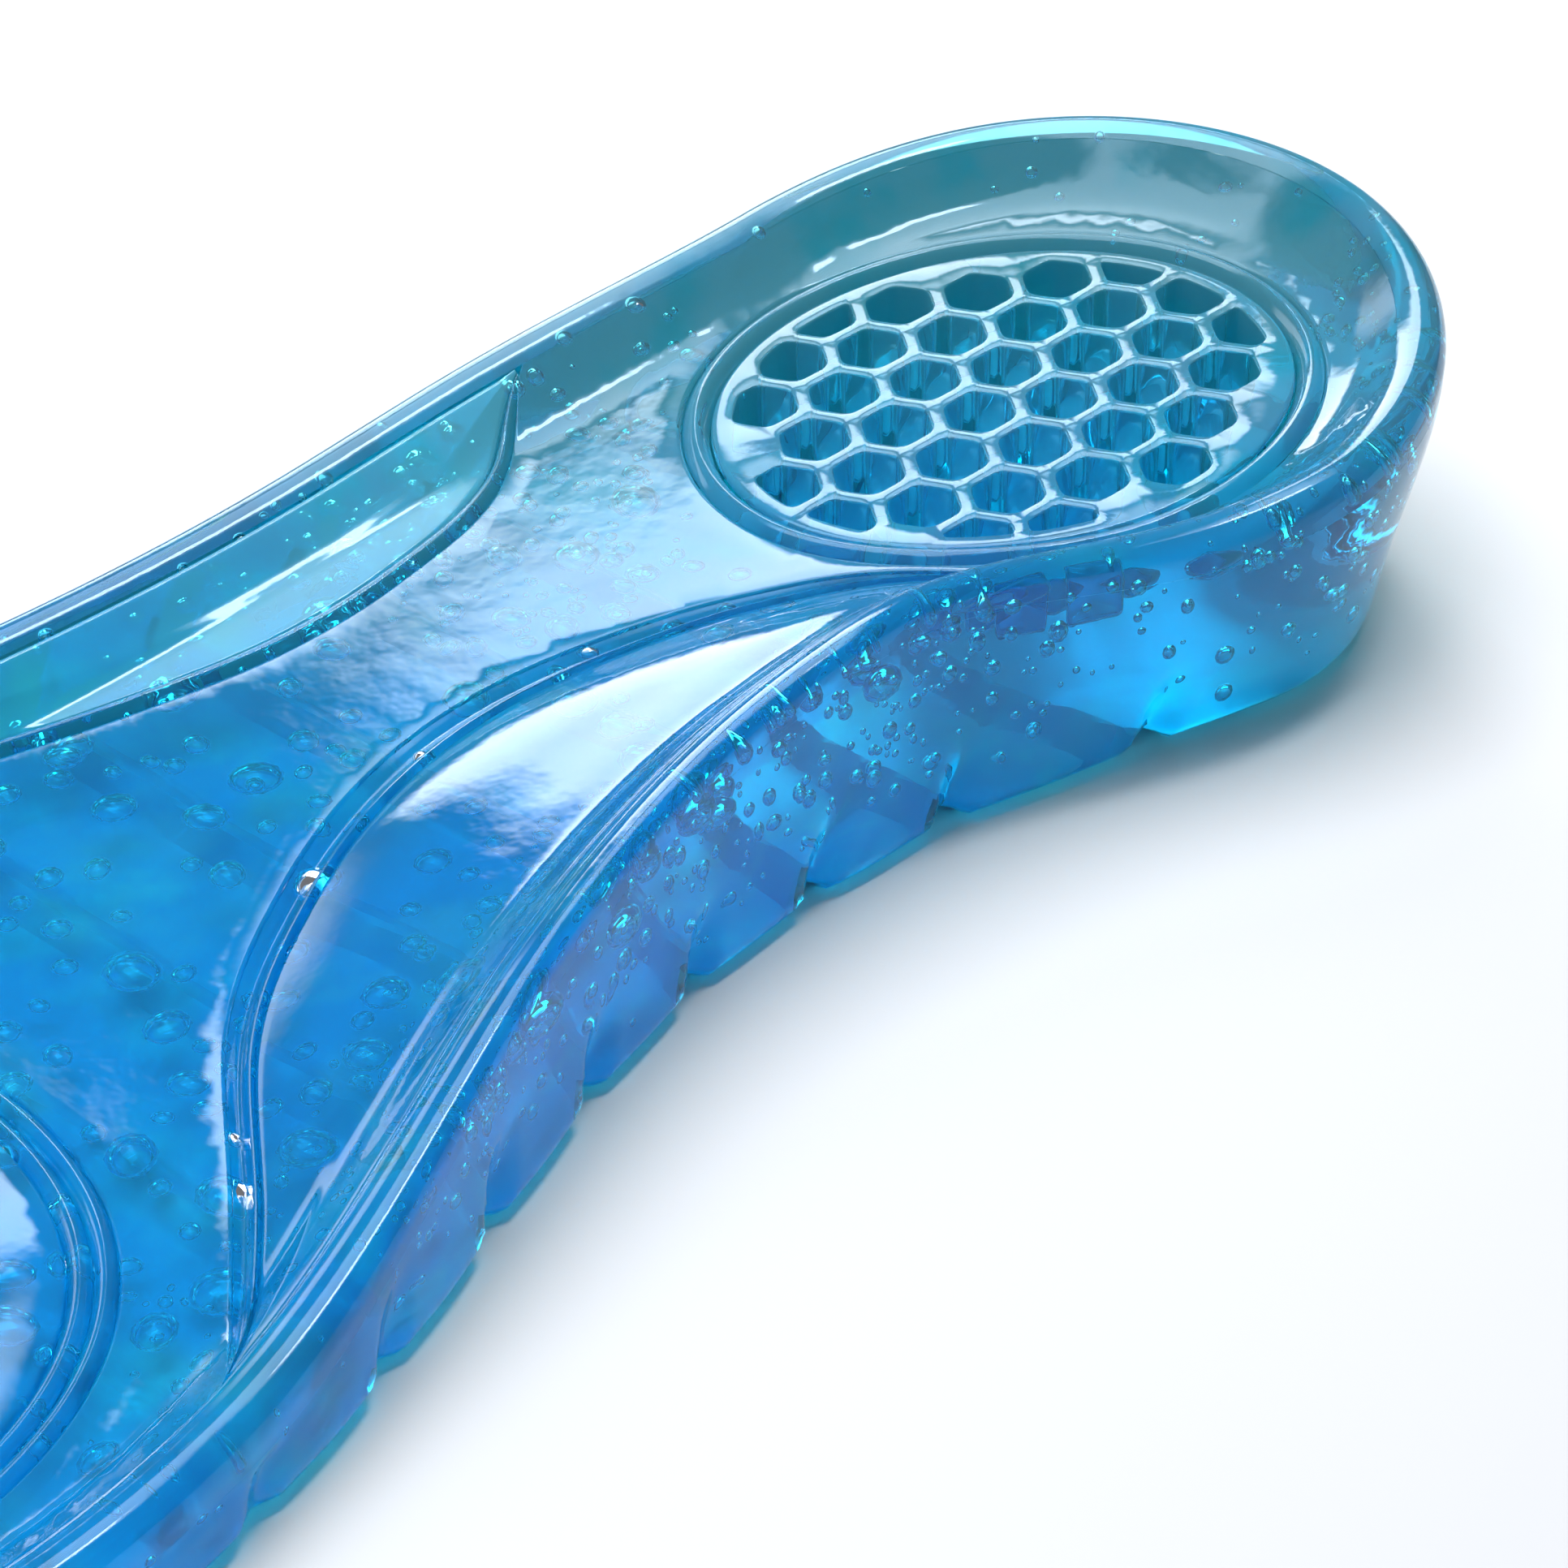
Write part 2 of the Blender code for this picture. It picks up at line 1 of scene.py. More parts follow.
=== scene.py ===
import math
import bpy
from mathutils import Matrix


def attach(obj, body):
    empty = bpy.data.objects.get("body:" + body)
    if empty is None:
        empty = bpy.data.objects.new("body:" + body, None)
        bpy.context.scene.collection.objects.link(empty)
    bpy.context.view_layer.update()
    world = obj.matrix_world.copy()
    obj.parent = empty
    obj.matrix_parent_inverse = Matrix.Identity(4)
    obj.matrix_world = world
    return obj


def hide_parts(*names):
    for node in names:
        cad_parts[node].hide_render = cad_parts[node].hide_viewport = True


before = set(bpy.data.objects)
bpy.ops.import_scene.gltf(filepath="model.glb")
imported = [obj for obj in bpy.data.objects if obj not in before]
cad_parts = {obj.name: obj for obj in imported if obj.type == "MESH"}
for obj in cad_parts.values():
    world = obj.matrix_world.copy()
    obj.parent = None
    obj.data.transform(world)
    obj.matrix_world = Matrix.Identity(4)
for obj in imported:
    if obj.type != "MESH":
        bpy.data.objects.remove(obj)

from types import SimpleNamespace

import bmesh
import bpy
import numpy as np
from mathutils import Matrix, Vector
from mathutils.geometry import delaunay_2d_cdt

bl_info = {
    "name": "Cushioned Gel Insole",
    "version": (1, 0, 0),
    "blender": (4, 5, 0),
    "location": "View3D > Sidebar > Insole",
    "description": "Builds a clear gel insole piece by piece, with its trapped bubbles and a studio stage",
    "category": "Add Mesh",
}

MM = 0.001

# All lengths are in millimetres. A station is the distance from the back of the heel along the foot.
# Plan
HEEL_ROUND, TOE_ROUND, TOE_FULLNESS = 37.0, 60.0, 2.3
HEEL_FULL_TO, WAIST_FROM, WAIST_TO = 34.0, 78.0, 86.0
FOREFOOT_FROM_TOE = 91.0
BALL_BEHIND, BALL_AHEAD = 6.0, 21.0     # the ball's full width, from the forefoot pad's middle
MIDDLE_SHIFTS = (2.5, 1.0, 7.6, 0.6, -10.0)   # of the heel's back, heel, waist, ball and toe
# Heights
HEEL_SLOPE, SLOPE_BLEND, SLOPE_FROM = 0.13, 12.0, 38.3
RIM_RISES = (4.5, 4.2, 1.2)
RIM_ARCH_STATION = 150.0
ARCH_SPAN = 30.0
ARCH_FROM, ARCH_FULL = 44.0, 84.0
ARCH_FALLS, ARCH_ENDS = 66.0, 22.0      # behind the forefoot pad's middle
DISH_ALONG = ((30.0, 0.0), (75.0, 1.0), (120.0, 1.0), (165.0, 0.0))
SHOULDER = 2.6              # height of the rim's rounded outer shoulder
CREST = 2.2                 # inset of the rim's crest
RIM_SIDE = 0.9              # upright side of the rim under its shoulder
DISH_BEND = 0.0012          # upturn of the footbed toward its outer side, behind the ball
# Side wall
WALL_LEANS = ((42.0, 0.25), (72.0, 0.02))     # (station, inset per millimetre down)
WALL_EASE = 3.0             # drop over which the lean starts
WALL_CORNER = 2.4
WALL_SLANT = 0.25           # how far a wall groove moves along the foot per millimetre up
SLANT_FROM = 1.0
LOBE_FADE = (1.5, 9.5)      # heights between which lobes and notches fade out
NOTCH_IN, LOBE_OUT = 1.5, 0.55
FULL_WALL, THIN_WALL = 12.0, 0.25       # wall height for full lobes, and the least share of them
SEAM_FADE = 1.2
WALL_ROWS, CORNER_ROWS = 14, 8
# Heel pad
HEEL_PAD_STATION = 39.8
HEEL_PAD_TURN = math.radians(-27.0)
HEEL_PAD_LONG = 1.12
CELL_TURN = math.radians(-7.0)
CELL_PHASE = (-0.34, -0.48)   # shares of a step and of a row by which the cells miss the pad's middle
CELL_LEAST = 0.2            # share of a whole cell under which a cut cell is left solid
CELL_POINTS, CELL_RAYS = 48, 360
CELL_SEEN = 0.9             # share of the pad's reach within which a cell's middle is kept
CELL_NEAREST = 0.3          # least gap from a cell's middle to its side
CELL_FLOOR = 0.4
CELL_MOUTH, CELL_DRAFT, CELL_BASE = 0.22, 0.22, 0.6   # rounding at the mouth, draft, rounding at the floor
PAD_ROUND = 0.5
# Footbed's rounded edges at the leaves, the heel ring and the forefoot rings
EDGE_ROUNDS = (0.35, 0.5, 0.45)
# Leaf pads: (share of the length, reach from the rim)
ARCH_REACH = ((0.0, 0.0), (0.05, 8.0), (0.17, 17.0), (0.34, 24.4), (0.48, 26.8), (0.62, 25.8), (0.75, 21.6),
              (0.87, 11.2), (1.0, 0.0))
WING_REACH = ((0.0, 0.0), (0.1, 7.0), (0.27, 10.4), (0.4, 10.6), (0.55, 8.6), (0.7, 6.0), (0.85, 3.2),
              (1.0, 0.0))
ARCH_LEAF, WING_LEAF = (57.0, 26.0), (66.0, 32.0)   # rear tip's station, front tip behind the forefoot pad
# Channel round the arch's leaf: (share of its width, height over the footbed)
ARCH_PROFILE = ((0.0, -0.35), (0.1, 0.25), (0.22, 0.2), (0.38, -0.45), (0.6, -0.95), (0.85, -0.55),
                (1.0, -0.3))
STRIP_SHARE = 0.45
STRIP_FULL = 1.6            # width from which a strip has its whole profile
TIP_CUT = 0.008
LEAF_ROUND = 0.4            # rounding of a leaf pad's edge
LIP_MOST = 0.3              # the rounding's largest share of the pad's width
TIP_EASE = 4.0              # length over which the footbed's rounding fades at a leaf's tip
# Ribs on the underside and up the side wall
RIB_GROOVES = (15.3, 53.6)
RIB_FIRST, RIB_PITCH, RIB_TOE_MARGIN = 72.0, 14.6, 20.0
GROOVE_HALF = 2.2
GROOVE_DEPTHS = (3.0, 0.9)  # at the heel and at the toe
END_LOBE = 30.0             # length of the lobe beyond the first and the last groove
# Bubbles
SIZE_POWER, DEPTH_POWER = 1.8, 1.3      # over 1: small and shallow bubbles are the commoner ones
BUBBLE_COVER, BUBBLE_FLOOR = 0.25, 0.6  # gel above and below a bubble
BUBBLE_APART = 1.08         # distance between two bubbles over the sum of their radii
BUBBLE_LEAN, LEAN_UNDER, LEAN_MOST = 0.22, 18.0, 12.0   # extra inset low down, where the side wall leans in
# Mesh fineness
SIDE_STEPS = 560
OVAL_STEPS = 260
LEAF_STEPS = 190
LEAF_LINES = 24
UNDER_LINES = 61            # across the underside, counting both edges
SHOULDER_ROWS, SLOPE_ROWS = 12, 8
SHARP, PAD_SHARP = math.radians(38.0), math.radians(50.0)   # angle from which an edge is shaded as a crease
FILL, COARSE_FILL = 1.7, 4.0
ROW_SHARE = 0.866           # height of a row of triangles over their side
FILL_CLEAR = 0.55           # least gap from a filling point to an edge, over the spacing
BATCH = 4000                # points measured at a time
SEAM = 0.03                 # between bonded faces, thin enough not to show
JOIN = 1e-4                 # millimetres within which sheet edges are one

# Material slots of a gel piece: open faces, those bonded to a neighbour, and the base's underside
GEL, BOND, MATT = 0, 1, 2

# Gel's ripples, roughness and paler clouds: noise scales in waves per metre
COARSE_RIPPLE, FINE_RIPPLE, RIPPLE_DEPTH = 70.0, 420.0, 0.0003
GLOSS_NOISE, CLOUD_NOISE = 160.0, 85.0
CLOUD_EDGE, CLOUD_MOST = (0.48, 0.7), 0.75
CELL_CLEARNESS, WING_CLEARNESS = 0.86, 0.7
POLISHED, MATT_ROUGH = 0.005, 0.3
# Tints run along this line, from the toe's up to TINT_FROM to the heel's beyond TINT_TO
TINT_LINE, TINT_FROM, TINT_TO = (0.695, -0.719, 0.0), 22.0, 92.0

# Stage
FLOOR_HALF, FLOOR_LEVEL = 6000.0, -0.04
FLOOR_SHADE_BLEND = (-160.0, 60.0)            # across the foot, from the near floor's colour to the far floor's: painted shade, darker on the near, arch side
SKY_BASE = 0.17
SKY_COLOUR = (0.93, 0.97, 1.05, 1.0)
# Soft boxes: way round, height, half width, half height, softness of the edge and lean, in degrees; strength
GLOWS = ((-33.5, 26.5, 7.0, 15.0, 3.0, 22.0, 9.0),
         (0.0, 12.0, 16.0, 7.0, 6.0, 0.0, 3.0),
         (-6.0, 73.0, 28.0, 20.5, 6.0, 0.0, 6.0),
         (-95.0, 74.0, 3.0, 9.0, 2.0, 0.0, 24.0))
CAMERA_PLACE = (-194.5, 133.0, 181.6)
CAMERA_LINE = (0.5765, -0.5970, -0.5579)
LENS, SENSOR = 93.17, 36.0


def eased(station, rows):
    """Value at each station, eased with a half cosine from one (station, value) row to the next."""
    station = np.asarray(station, float)
    value = np.full(station.shape, float(rows[0][1]))
    for (start, low), (end, high) in zip(rows, rows[1:]):
        share = np.clip((station - start) / (end - start), 0.0, 1.0)
        value += (high - low) * (0.5 - 0.5 * np.cos(np.pi * share))
    return value


def smooth(low, high, value):
    """Rises from 0 at low to 1 at high, level at both ends: three times the square less twice the cube."""
    share = np.clip((value - low) / (high - low), 0.0, 1.0)
    return share * share * (3 - 2 * share)


def spline(at, rows):
    """Smooth curve through (place, value) rows: cubic between rows, sloped as the rows around each one."""
    places, values = np.array(rows, float).T
    slopes = np.gradient(values, places)
    piece = np.clip(np.searchsorted(places, at) - 1, 0, len(places) - 2)
    span = places[piece + 1] - places[piece]
    t = np.clip((at - places[piece]) / span, 0.0, 1.0)
    start = (1 + 2 * t) * (1 - t) ** 2 * values[piece] + t * (1 - t) ** 2 * span * slopes[piece]
    end = t * t * (3 - 2 * t) * values[piece + 1] + t * t * (t - 1) * span * slopes[piece + 1]
    return start + end


def evenly(line, steps):
    """The open line redrawn with points the same way apart along it."""
    gone = np.concatenate([[0.0], np.cumsum(np.linalg.norm(np.diff(line, axis=0), axis=1))])
    even = np.linspace(0, gone[-1], steps + 1)
    return np.column_stack([np.interp(even, gone, line[:, i]) for i in range(line.shape[1])])


def across_of(loop):
    """Inward unit normals of a counter-clockwise loop, from each point's two neighbours."""
    along = np.roll(loop, -1, axis=0) - np.roll(loop, 1, axis=0)
    along /= np.linalg.norm(along, axis=1)[:, None]
    return np.column_stack([-along[:, 1], along[:, 0]])


def offset(loop, inset):
    """The loop moved inward along its normals."""
    return loop + np.reshape(inset, (-1, 1)) * across_of(loop)


def inset_of(points, loop):
    """Distance inward from the loop, along the normal at its nearest point, less the curve's sag there."""
    ahead, behind = np.roll(loop, -1, axis=0), np.roll(loop, 1, axis=0)
    inward = across_of(loop)
    along = np.column_stack([inward[:, 1], -inward[:, 0]])
    step = np.linalg.norm(ahead - behind, axis=1) / 2
    bend = ((ahead - 2 * loop + behind) * inward).sum(1) / step ** 2
    parts = np.array_split(points, max(1, len(points) // BATCH))
    near = np.concatenate([((loop * loop).sum(1) - 2 * part @ loop.T).argmin(1) for part in parts])
    away = points - loop[near]
    depth = (away * inward[near]).sum(1)
    slip = (away * along[near]).sum(1)
    return depth - bend[near] * slip ** 2 / 2 / np.maximum(1 - bend[near] * depth, 0.3)


def inside(points, loop):
    """True for each point inside the loop, by the even-odd count of crossings to its right."""
    x0, y0 = loop.T
    x1, y1 = np.roll(loop, -1, axis=0).T
    lean = (x1 - x0) / np.where(y1 == y0, 1.0, y1 - y0)
    found = []
    for part in np.array_split(points, max(1, len(points) // BATCH)):
        x, y = part[:, 0, None], part[:, 1, None]
        crosses = (y0 <= y) != (y1 <= y)
        found.append((crosses & (x < x0 + (y - y0) * lean)).sum(1) % 2 == 1)
    return np.concatenate(found)


def oval(centre, half_width, half_length, turn=0.0, fullness=2.0, steps=OVAL_STEPS):
    """Closed oval, evenly spaced. A fullness of 2 is an ellipse, and more fills its corners."""
    angle = np.linspace(0, 2 * np.pi, 4 * steps + 1)
    cosine, sine = np.cos(angle), np.sin(angle)
    x = half_width * np.sign(cosine) * np.abs(cosine) ** (2 / fullness)
    y = half_length * np.sign(sine) * np.abs(sine) ** (2 / fullness)
    spin = np.array([[math.cos(turn), -math.sin(turn)], [math.sin(turn), math.cos(turn)]])
    return np.asarray(centre) + evenly(np.column_stack([x, y]), steps)[:-1] @ spin.T


class Foot:
    """Plan and heights of the insole in millimetres, worked out from its sizes."""

    def __init__(self, sizes):
        lengths = {name: getattr(sizes, name) / MM for name in InsoleSizes.__annotations__}
        self.size = SimpleNamespace(**lengths)
        self.forefoot = self.size.length - FOREFOOT_FROM_TOE
        self.centre = np.zeros(2)
        raw = np.vstack([self.side(1), self.side(-1)])
        self.centre = (raw.min(axis=0) + raw.max(axis=0)) / 2
        self.outer, self.inner = self.side(1), self.side(-1)
        self.outline = np.vstack([self.outer, self.inner[-2:0:-1]])
        self.slope_end = SLOPE_FROM + (self.size.heel_thick - self.size.forefoot_thick) / HEEL_SLOPE

    def side(self, sign):
        """One side of the outline, heel to toe: the middle line plus half a width, rounded at both ends."""
        s = self.size
        station = s.length * (0.5 - 0.5 * np.cos(np.linspace(0, np.pi, 8 * SIDE_STEPS)))
        ball = (self.forefoot - BALL_BEHIND, self.forefoot + BALL_AHEAD)
        width = eased(station, [(0, s.heel_width), (HEEL_FULL_TO, s.heel_width), (WAIST_FROM, s.waist_width),
                                (WAIST_TO, s.waist_width), (ball[0], s.ball_width), (ball[1], s.ball_width),
                                (s.length, s.toe_width)])
        heel = np.clip(1 - station / HEEL_ROUND, 0, 1)
        toe = np.clip(1 - (s.length - station) / TOE_ROUND, 0, 1)
        width *= np.sqrt(1 - heel ** 2) * (1 - toe ** TOE_FULLNESS) ** (1 / TOE_FULLNESS)
        back, heel_mid, waist, ball_mid, toe_mid = MIDDLE_SHIFTS
        middle = eased(station, [(0, back), (HEEL_FULL_TO, heel_mid), (WAIST_FROM, waist), (WAIST_TO, waist),
                                 (ball[0], ball_mid), (s.length, toe_mid)])
        self.middle_rows = (station, middle)
        return evenly(np.column_stack([middle + sign * width / 2, station]), SIDE_STEPS) - self.centre

    def station(self, points):
        return points[..., 1] + self.centre[1]

    def middle_at(self, station):
        return np.interp(station, *self.middle_rows) - self.centre[0]

    def side_line(self, station, inset, sign):
        """X of one side, moved inward, at the given stations."""
        loop = offset(self.outline, inset)
        line = loop[:SIDE_STEPS + 1] if sign > 0 else np.vstack([loop[SIDE_STEPS:], loop[:1]])[::-1]
        return np.interp(station - self.centre[1], line[:, 1], line[:, 0])

    def ground_rise(self, points):
        """Footbed without its rim: a fall that eases into the flat forefoot, the arch's swell, and a dish."""
        s, station = self.size, self.station(points)
        fall = np.logaddexp(0, (self.slope_end - station) / SLOPE_BLEND)
        slope = s.forefoot_thick + HEEL_SLOPE * SLOPE_BLEND * fall
        swell = eased(station, [(ARCH_FROM, 0), (ARCH_FULL, s.arch_rise),
                                (self.forefoot - ARCH_FALLS, s.arch_rise), (self.forefoot - ARCH_ENDS, 0)])
        inner = np.interp(points[:, 1], self.inner[:, 1], self.inner[:, 0])
        share = (points[:, 0] - inner) / ARCH_SPAN
        dish = np.maximum(points[:, 0] - self.middle_at(station), 0) ** 2 * DISH_BEND
        return slope + swell * np.clip(1 - share, 0, 1) ** 2 + dish * eased(station, DISH_ALONG)

    def rim_rise(self, points):
        heel, arch, toe = RIM_RISES
        return eased(self.station(points), [(0, heel), (HEEL_FULL_TO, heel), (RIM_ARCH_STATION, arch),
                                            (self.size.length, toe)])

    def cup(self, inset):
        """Share of the rim's rise at an inset: full at the crest, and none from the cup's foot inward."""
        return 1 - smooth(CREST, self.size.rim_width + self.size.cup_wall, inset)

    def top(self, points):
        """Height of the footbed with its cup wall."""
        climb = self.cup(inset_of(points, self.outline))
        return self.ground_rise(points) + self.rim_rise(points) * climb

    def bed(self, points):
        """Underside of the pieces that lie on the base."""
        return self.top(points) - self.size.footbed_layer

    def rim_foot(self, outline):
        """Height of the seam between the rim and the base's side wall, all round."""
        return self.ground_rise(outline) + self.rim_rise(outline) - SHOULDER - RIM_SIDE

    def groove_depth(self, station):
        heel, toe = GROOVE_DEPTHS
        return eased(station, [(0, heel), (WAIST_TO, heel), (self.forefoot - BALL_BEHIND, toe)])

    def wall(self, outline, station, top, places):
        """Rows of the side wall, seam to ground: a lean that starts gently, a rounded lower corner, lobes
        between the grooves, and each groove's notch, which slants and fades out up the wall."""
        lean = eased(station, WALL_LEANS)
        corner = np.minimum(WALL_CORNER, top / 2)
        thin = np.clip(top / FULL_WALL, THIN_WALL, 1)
        falls = np.concatenate([np.linspace(0, 1, WALL_ROWS + 1)[:-1], np.ones(CORNER_ROWS)])
        turns = np.concatenate([np.zeros(WALL_ROWS), np.linspace(0, np.pi / 2, CORNER_ROWS)])
        rows, heights = [], []
        for fall, turn in zip(falls, turns):
            height = (top - corner) * (1 - fall) + corner * (1 - math.sin(turn))
            drop = top - height
            groove = groove_share(station + WALL_SLANT * (height - SLANT_FROM), places)
            lobe = lobe_share(station + WALL_SLANT * (height - SLANT_FROM), places)
            inset = lean * (np.sqrt(drop ** 2 + WALL_EASE ** 2) - WALL_EASE) + corner * (1 - math.cos(turn))
            inset += thin * (1 - smooth(*LOBE_FADE, height)) * (NOTCH_IN * groove - LOBE_OUT * lobe)
            inset *= smooth(0.0, SEAM_FADE, drop)
            rows.append(offset(outline, inset))
            heights.append(height + self.groove_depth(station) * groove * (turn / (np.pi / 2)) ** 2)
        return rows, heights

    def heel_oval(self, inset):
        s = self.size
        half = s.heel_width / 2 - s.rim_width - s.cup_wall - s.heel_pad_margin
        centre = (self.middle_at(HEEL_PAD_STATION), HEEL_PAD_STATION - self.centre[1])
        return oval(centre, half - inset, half * HEEL_PAD_LONG - inset, HEEL_PAD_TURN)

    def forefoot_oval(self, inset):
        s = self.size
        half = s.ball_width / 2 - s.rim_width - s.cup_wall - s.forefoot_margin
        centre = (s.forefoot_shift - self.centre[0], self.forefoot - self.centre[1])
        return oval(centre, half - inset, s.forefoot_pad_length / 2 - inset, fullness=2.4)

    def leaf(self, sign):
        """Loops of a leaf pad along the rim and of the strip round its free edge."""
        start, stop, reach_rows, strip_width = self.leaf_sizes(sign)
        share = TIP_CUT + (1 - 2 * TIP_CUT) * (0.5 - 0.5 * np.cos(np.linspace(0, np.pi, LEAF_STEPS + 1)))
        station = start + share * (stop - start)
        root = self.side_line(station, self.size.rim_width + SEAM, sign)
        reach = spline(share, reach_rows)
        strip = strip_width * np.tanh(STRIP_SHARE * reach / strip_width)
        y = station - self.centre[1]
        free, seam = root - sign * reach, root - sign * (reach - strip)
        return between(root, seam + sign * SEAM, y), between(seam, free, y)

    def leaf_sizes(self, sign):
        """Stations, reach and strip width of the wing's leaf (+1) or the arch's (-1)."""
        s = self.size
        if sign > 0:
            return WING_LEAF[0], self.forefoot - WING_LEAF[1], WING_REACH, s.ridge_width
        return ARCH_LEAF[0], self.forefoot - ARCH_LEAF[1], ARCH_REACH, s.arch_band_width

    def footbed_edge(self):
        """Outline of the footbed skin, which is the rim's inner edge drawn in to each leaf's free edge, and
        the share of its rounding."""
        edge = offset(self.outline, self.size.rim_width + SEAM)
        station = self.station(edge)
        rounding = np.zeros(len(edge))
        for sign, side in ((1, slice(0, SIDE_STEPS + 1)), (-1, slice(SIDE_STEPS + 1, None))):
            start, stop, reach_rows, _ = self.leaf_sizes(sign)
            at = station[side]
            reach = spline(np.clip((at - start) / (stop - start), 0, 1), reach_rows)
            edge[side, 0] -= sign * (reach + SEAM * (reach > 0))
            rounding[side] = smooth(0, TIP_EASE, np.minimum(at - start, stop - at))
        return edge, rounding


def between(one, other, y):
    """Counter-clockwise loop between two lines that run side by side toward the toe."""
    right = np.column_stack([np.maximum(one, other), y])
    left = np.column_stack([np.minimum(one, other), y])
    return np.vstack([right, left[::-1]])


class Sheets:
    """Collects the sheets of one closed piece in millimetres, then joins them along their shared edges."""

    def __init__(self):
        self.points, self.faces, self.slots, self.count = [], [], [], 0

    def add(self, points, faces, slot):
        self.points.append(points)
        self.faces.extend((np.asarray(faces) + self.count).tolist())
        self.slots.extend([slot] * len(faces))
        self.count += len(points)

    def grid(self, rows, slot, closed=True):
        """A sheet over a grid of points, rows by columns; each row closes on itself if closed."""
        rows = np.asarray(rows, float)
        count, length = rows.shape[:2]
        row, column = np.meshgrid(np.arange(count - 1), np.arange(length - (not closed)), indexing="ij")
        after = (column + 1) % length
        quads = np.stack([row * length + column, row * length + after,
                          (row + 1) * length + after, (row + 1) * length + column], axis=-1)
        self.add(rows.reshape(-1, 3), quads.reshape(-1, 4), slot)

    def fill(self, loops, height, slot, spacing=FILL):
        """A sheet inside the first loop and outside the others: a triangle mesh over staggered points."""
        points = np.vstack(loops)
        if spacing:
            low, high = loops[0].min(axis=0), loops[0].max(axis=0)
            y, x = np.mgrid[low[1]:high[1]:spacing * ROW_SHARE, low[0]:high[0]:spacing]
            x = x + spacing / 2 * (np.arange(len(x)) % 2)[:, None]
            grid = np.column_stack([x.ravel(), y.ravel()])
            clear = spacing * FILL_CLEAR
            keep = inside(grid, loops[0]) & (np.abs(inset_of(grid, loops[0])) > clear)
            for hole in loops[1:]:
                keep &= ~inside(grid, hole) & (np.abs(inset_of(grid, hole)) > clear)
            points = np.vstack([points, grid[keep]])
        starts = np.cumsum([0] + [len(loop) for loop in loops])
        edges = [(int(start) + i, int(start) + (i + 1) % len(loop))
                 for start, loop in zip(starts, loops) for i in range(len(loop))]
        flat, _, faces, *_ = delaunay_2d_cdt([Vector(p) for p in points.tolist()], edges, [], 0, 1e-5)
        flat = np.array([corner[:] for corner in flat])
        faces = np.array(faces)
        middle = flat[faces].mean(axis=1)
        keep = inside(middle, loops[0])
        for hole in loops[1:]:
            keep &= ~inside(middle, hole)
        self.add(np.column_stack([flat, height(flat)]), faces[keep], slot)

    def piece(self, name, materials, sharp=SHARP):
        """Joins the sheets into one closed mesh with outward faces, and puts it on the root body."""
        mesh = bpy.data.meshes.new(name)
        mesh.from_pydata((np.vstack(self.points) * MM).tolist(), [], self.faces)
        mesh.polygons.foreach_set("material_index", self.slots)
        joined = bmesh.new()
        joined.from_mesh(mesh)
        bmesh.ops.remove_doubles(joined, verts=joined.verts, dist=JOIN * MM)
        bmesh.ops.recalc_face_normals(joined, faces=joined.faces)
        bmesh.ops.delete(joined, geom=[v for v in joined.verts if not v.link_faces], context="VERTS")
        open_edges = sum(not edge.is_manifold for edge in joined.edges)
        joined.to_mesh(mesh)
        joined.free()
        if open_edges:
            raise RuntimeError(f"{name} has {open_edges} open edges")
        mesh.shade_smooth()
        mesh.set_sharp_from_angle(angle=sharp)
        for material in materials:
            mesh.materials.append(material)
        thing = bpy.data.objects.new(name, mesh)
        bpy.context.scene.collection.objects.link(thing)
        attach(thing, "root")
        return thing


def lifted(loop, heights):
    return np.column_stack([loop, heights])


def lip_rows(loop, top, round_off, steps=5):
    """Rows of a rounded edge, from the side face up to the top: a quarter circle of inset and drop."""
    if not np.any(round_off):
        return [lifted(loop, top(loop))]
    angle = np.linspace(0, np.pi / 2, steps)
    places = [offset(loop, round_off * (1 - math.cos(turn))) for turn in angle]
    return [lifted(place, top(place) - round_off * (1 - math.sin(turn)))
            for place, turn in zip(places, angle)]


def plate(name, loops, rounds, top, bottom, materials, spacing=FILL):
    """A closed plate between two surfaces, its rounded top edges carried round each of its loops."""
    sheets = Sheets()
    inner = []
    for loop, round_off in zip(loops, rounds):
        rows = lip_rows(loop, top, round_off)
        if len(rows) > 1:
            sheets.grid(rows, GEL)
        foot = lifted(loop, bottom(loop))
        sheets.grid([foot, rows[0]], BOND)
        inner.append(rows[-1][:, :2])
    sheets.fill(inner, top, GEL, spacing)
    sheets.fill(list(loops), bottom, BOND, spacing)
    return sheets.piece(name, materials)


def swept(name, rows, slots, materials):
    """A closed ring: a profile's rows carried round a loop, and joined last to first."""
    sheets = Sheets()
    rows = list(rows)
    for row, after, slot in zip(rows, rows[1:] + rows[:1], slots):
        sheets.grid([row, after], slot)
    return sheets.piece(name, materials)


# --- Materials ------------------------------------------------------------------------------------

class Wire:
    """A socket in a shader. Adding to it or multiplying it adds a Math node to its tree."""

    def __init__(self, tree, socket):
        self.tree, self.socket = tree, socket

    def math(self, operation, other):
        return self.tree.node("ShaderNodeMath", {"operation": operation}, {0: self, 1: other})

    def __add__(self, other):
        return self.math("ADD", other)

    def __mul__(self, other):
        return self.math("MULTIPLY", other)


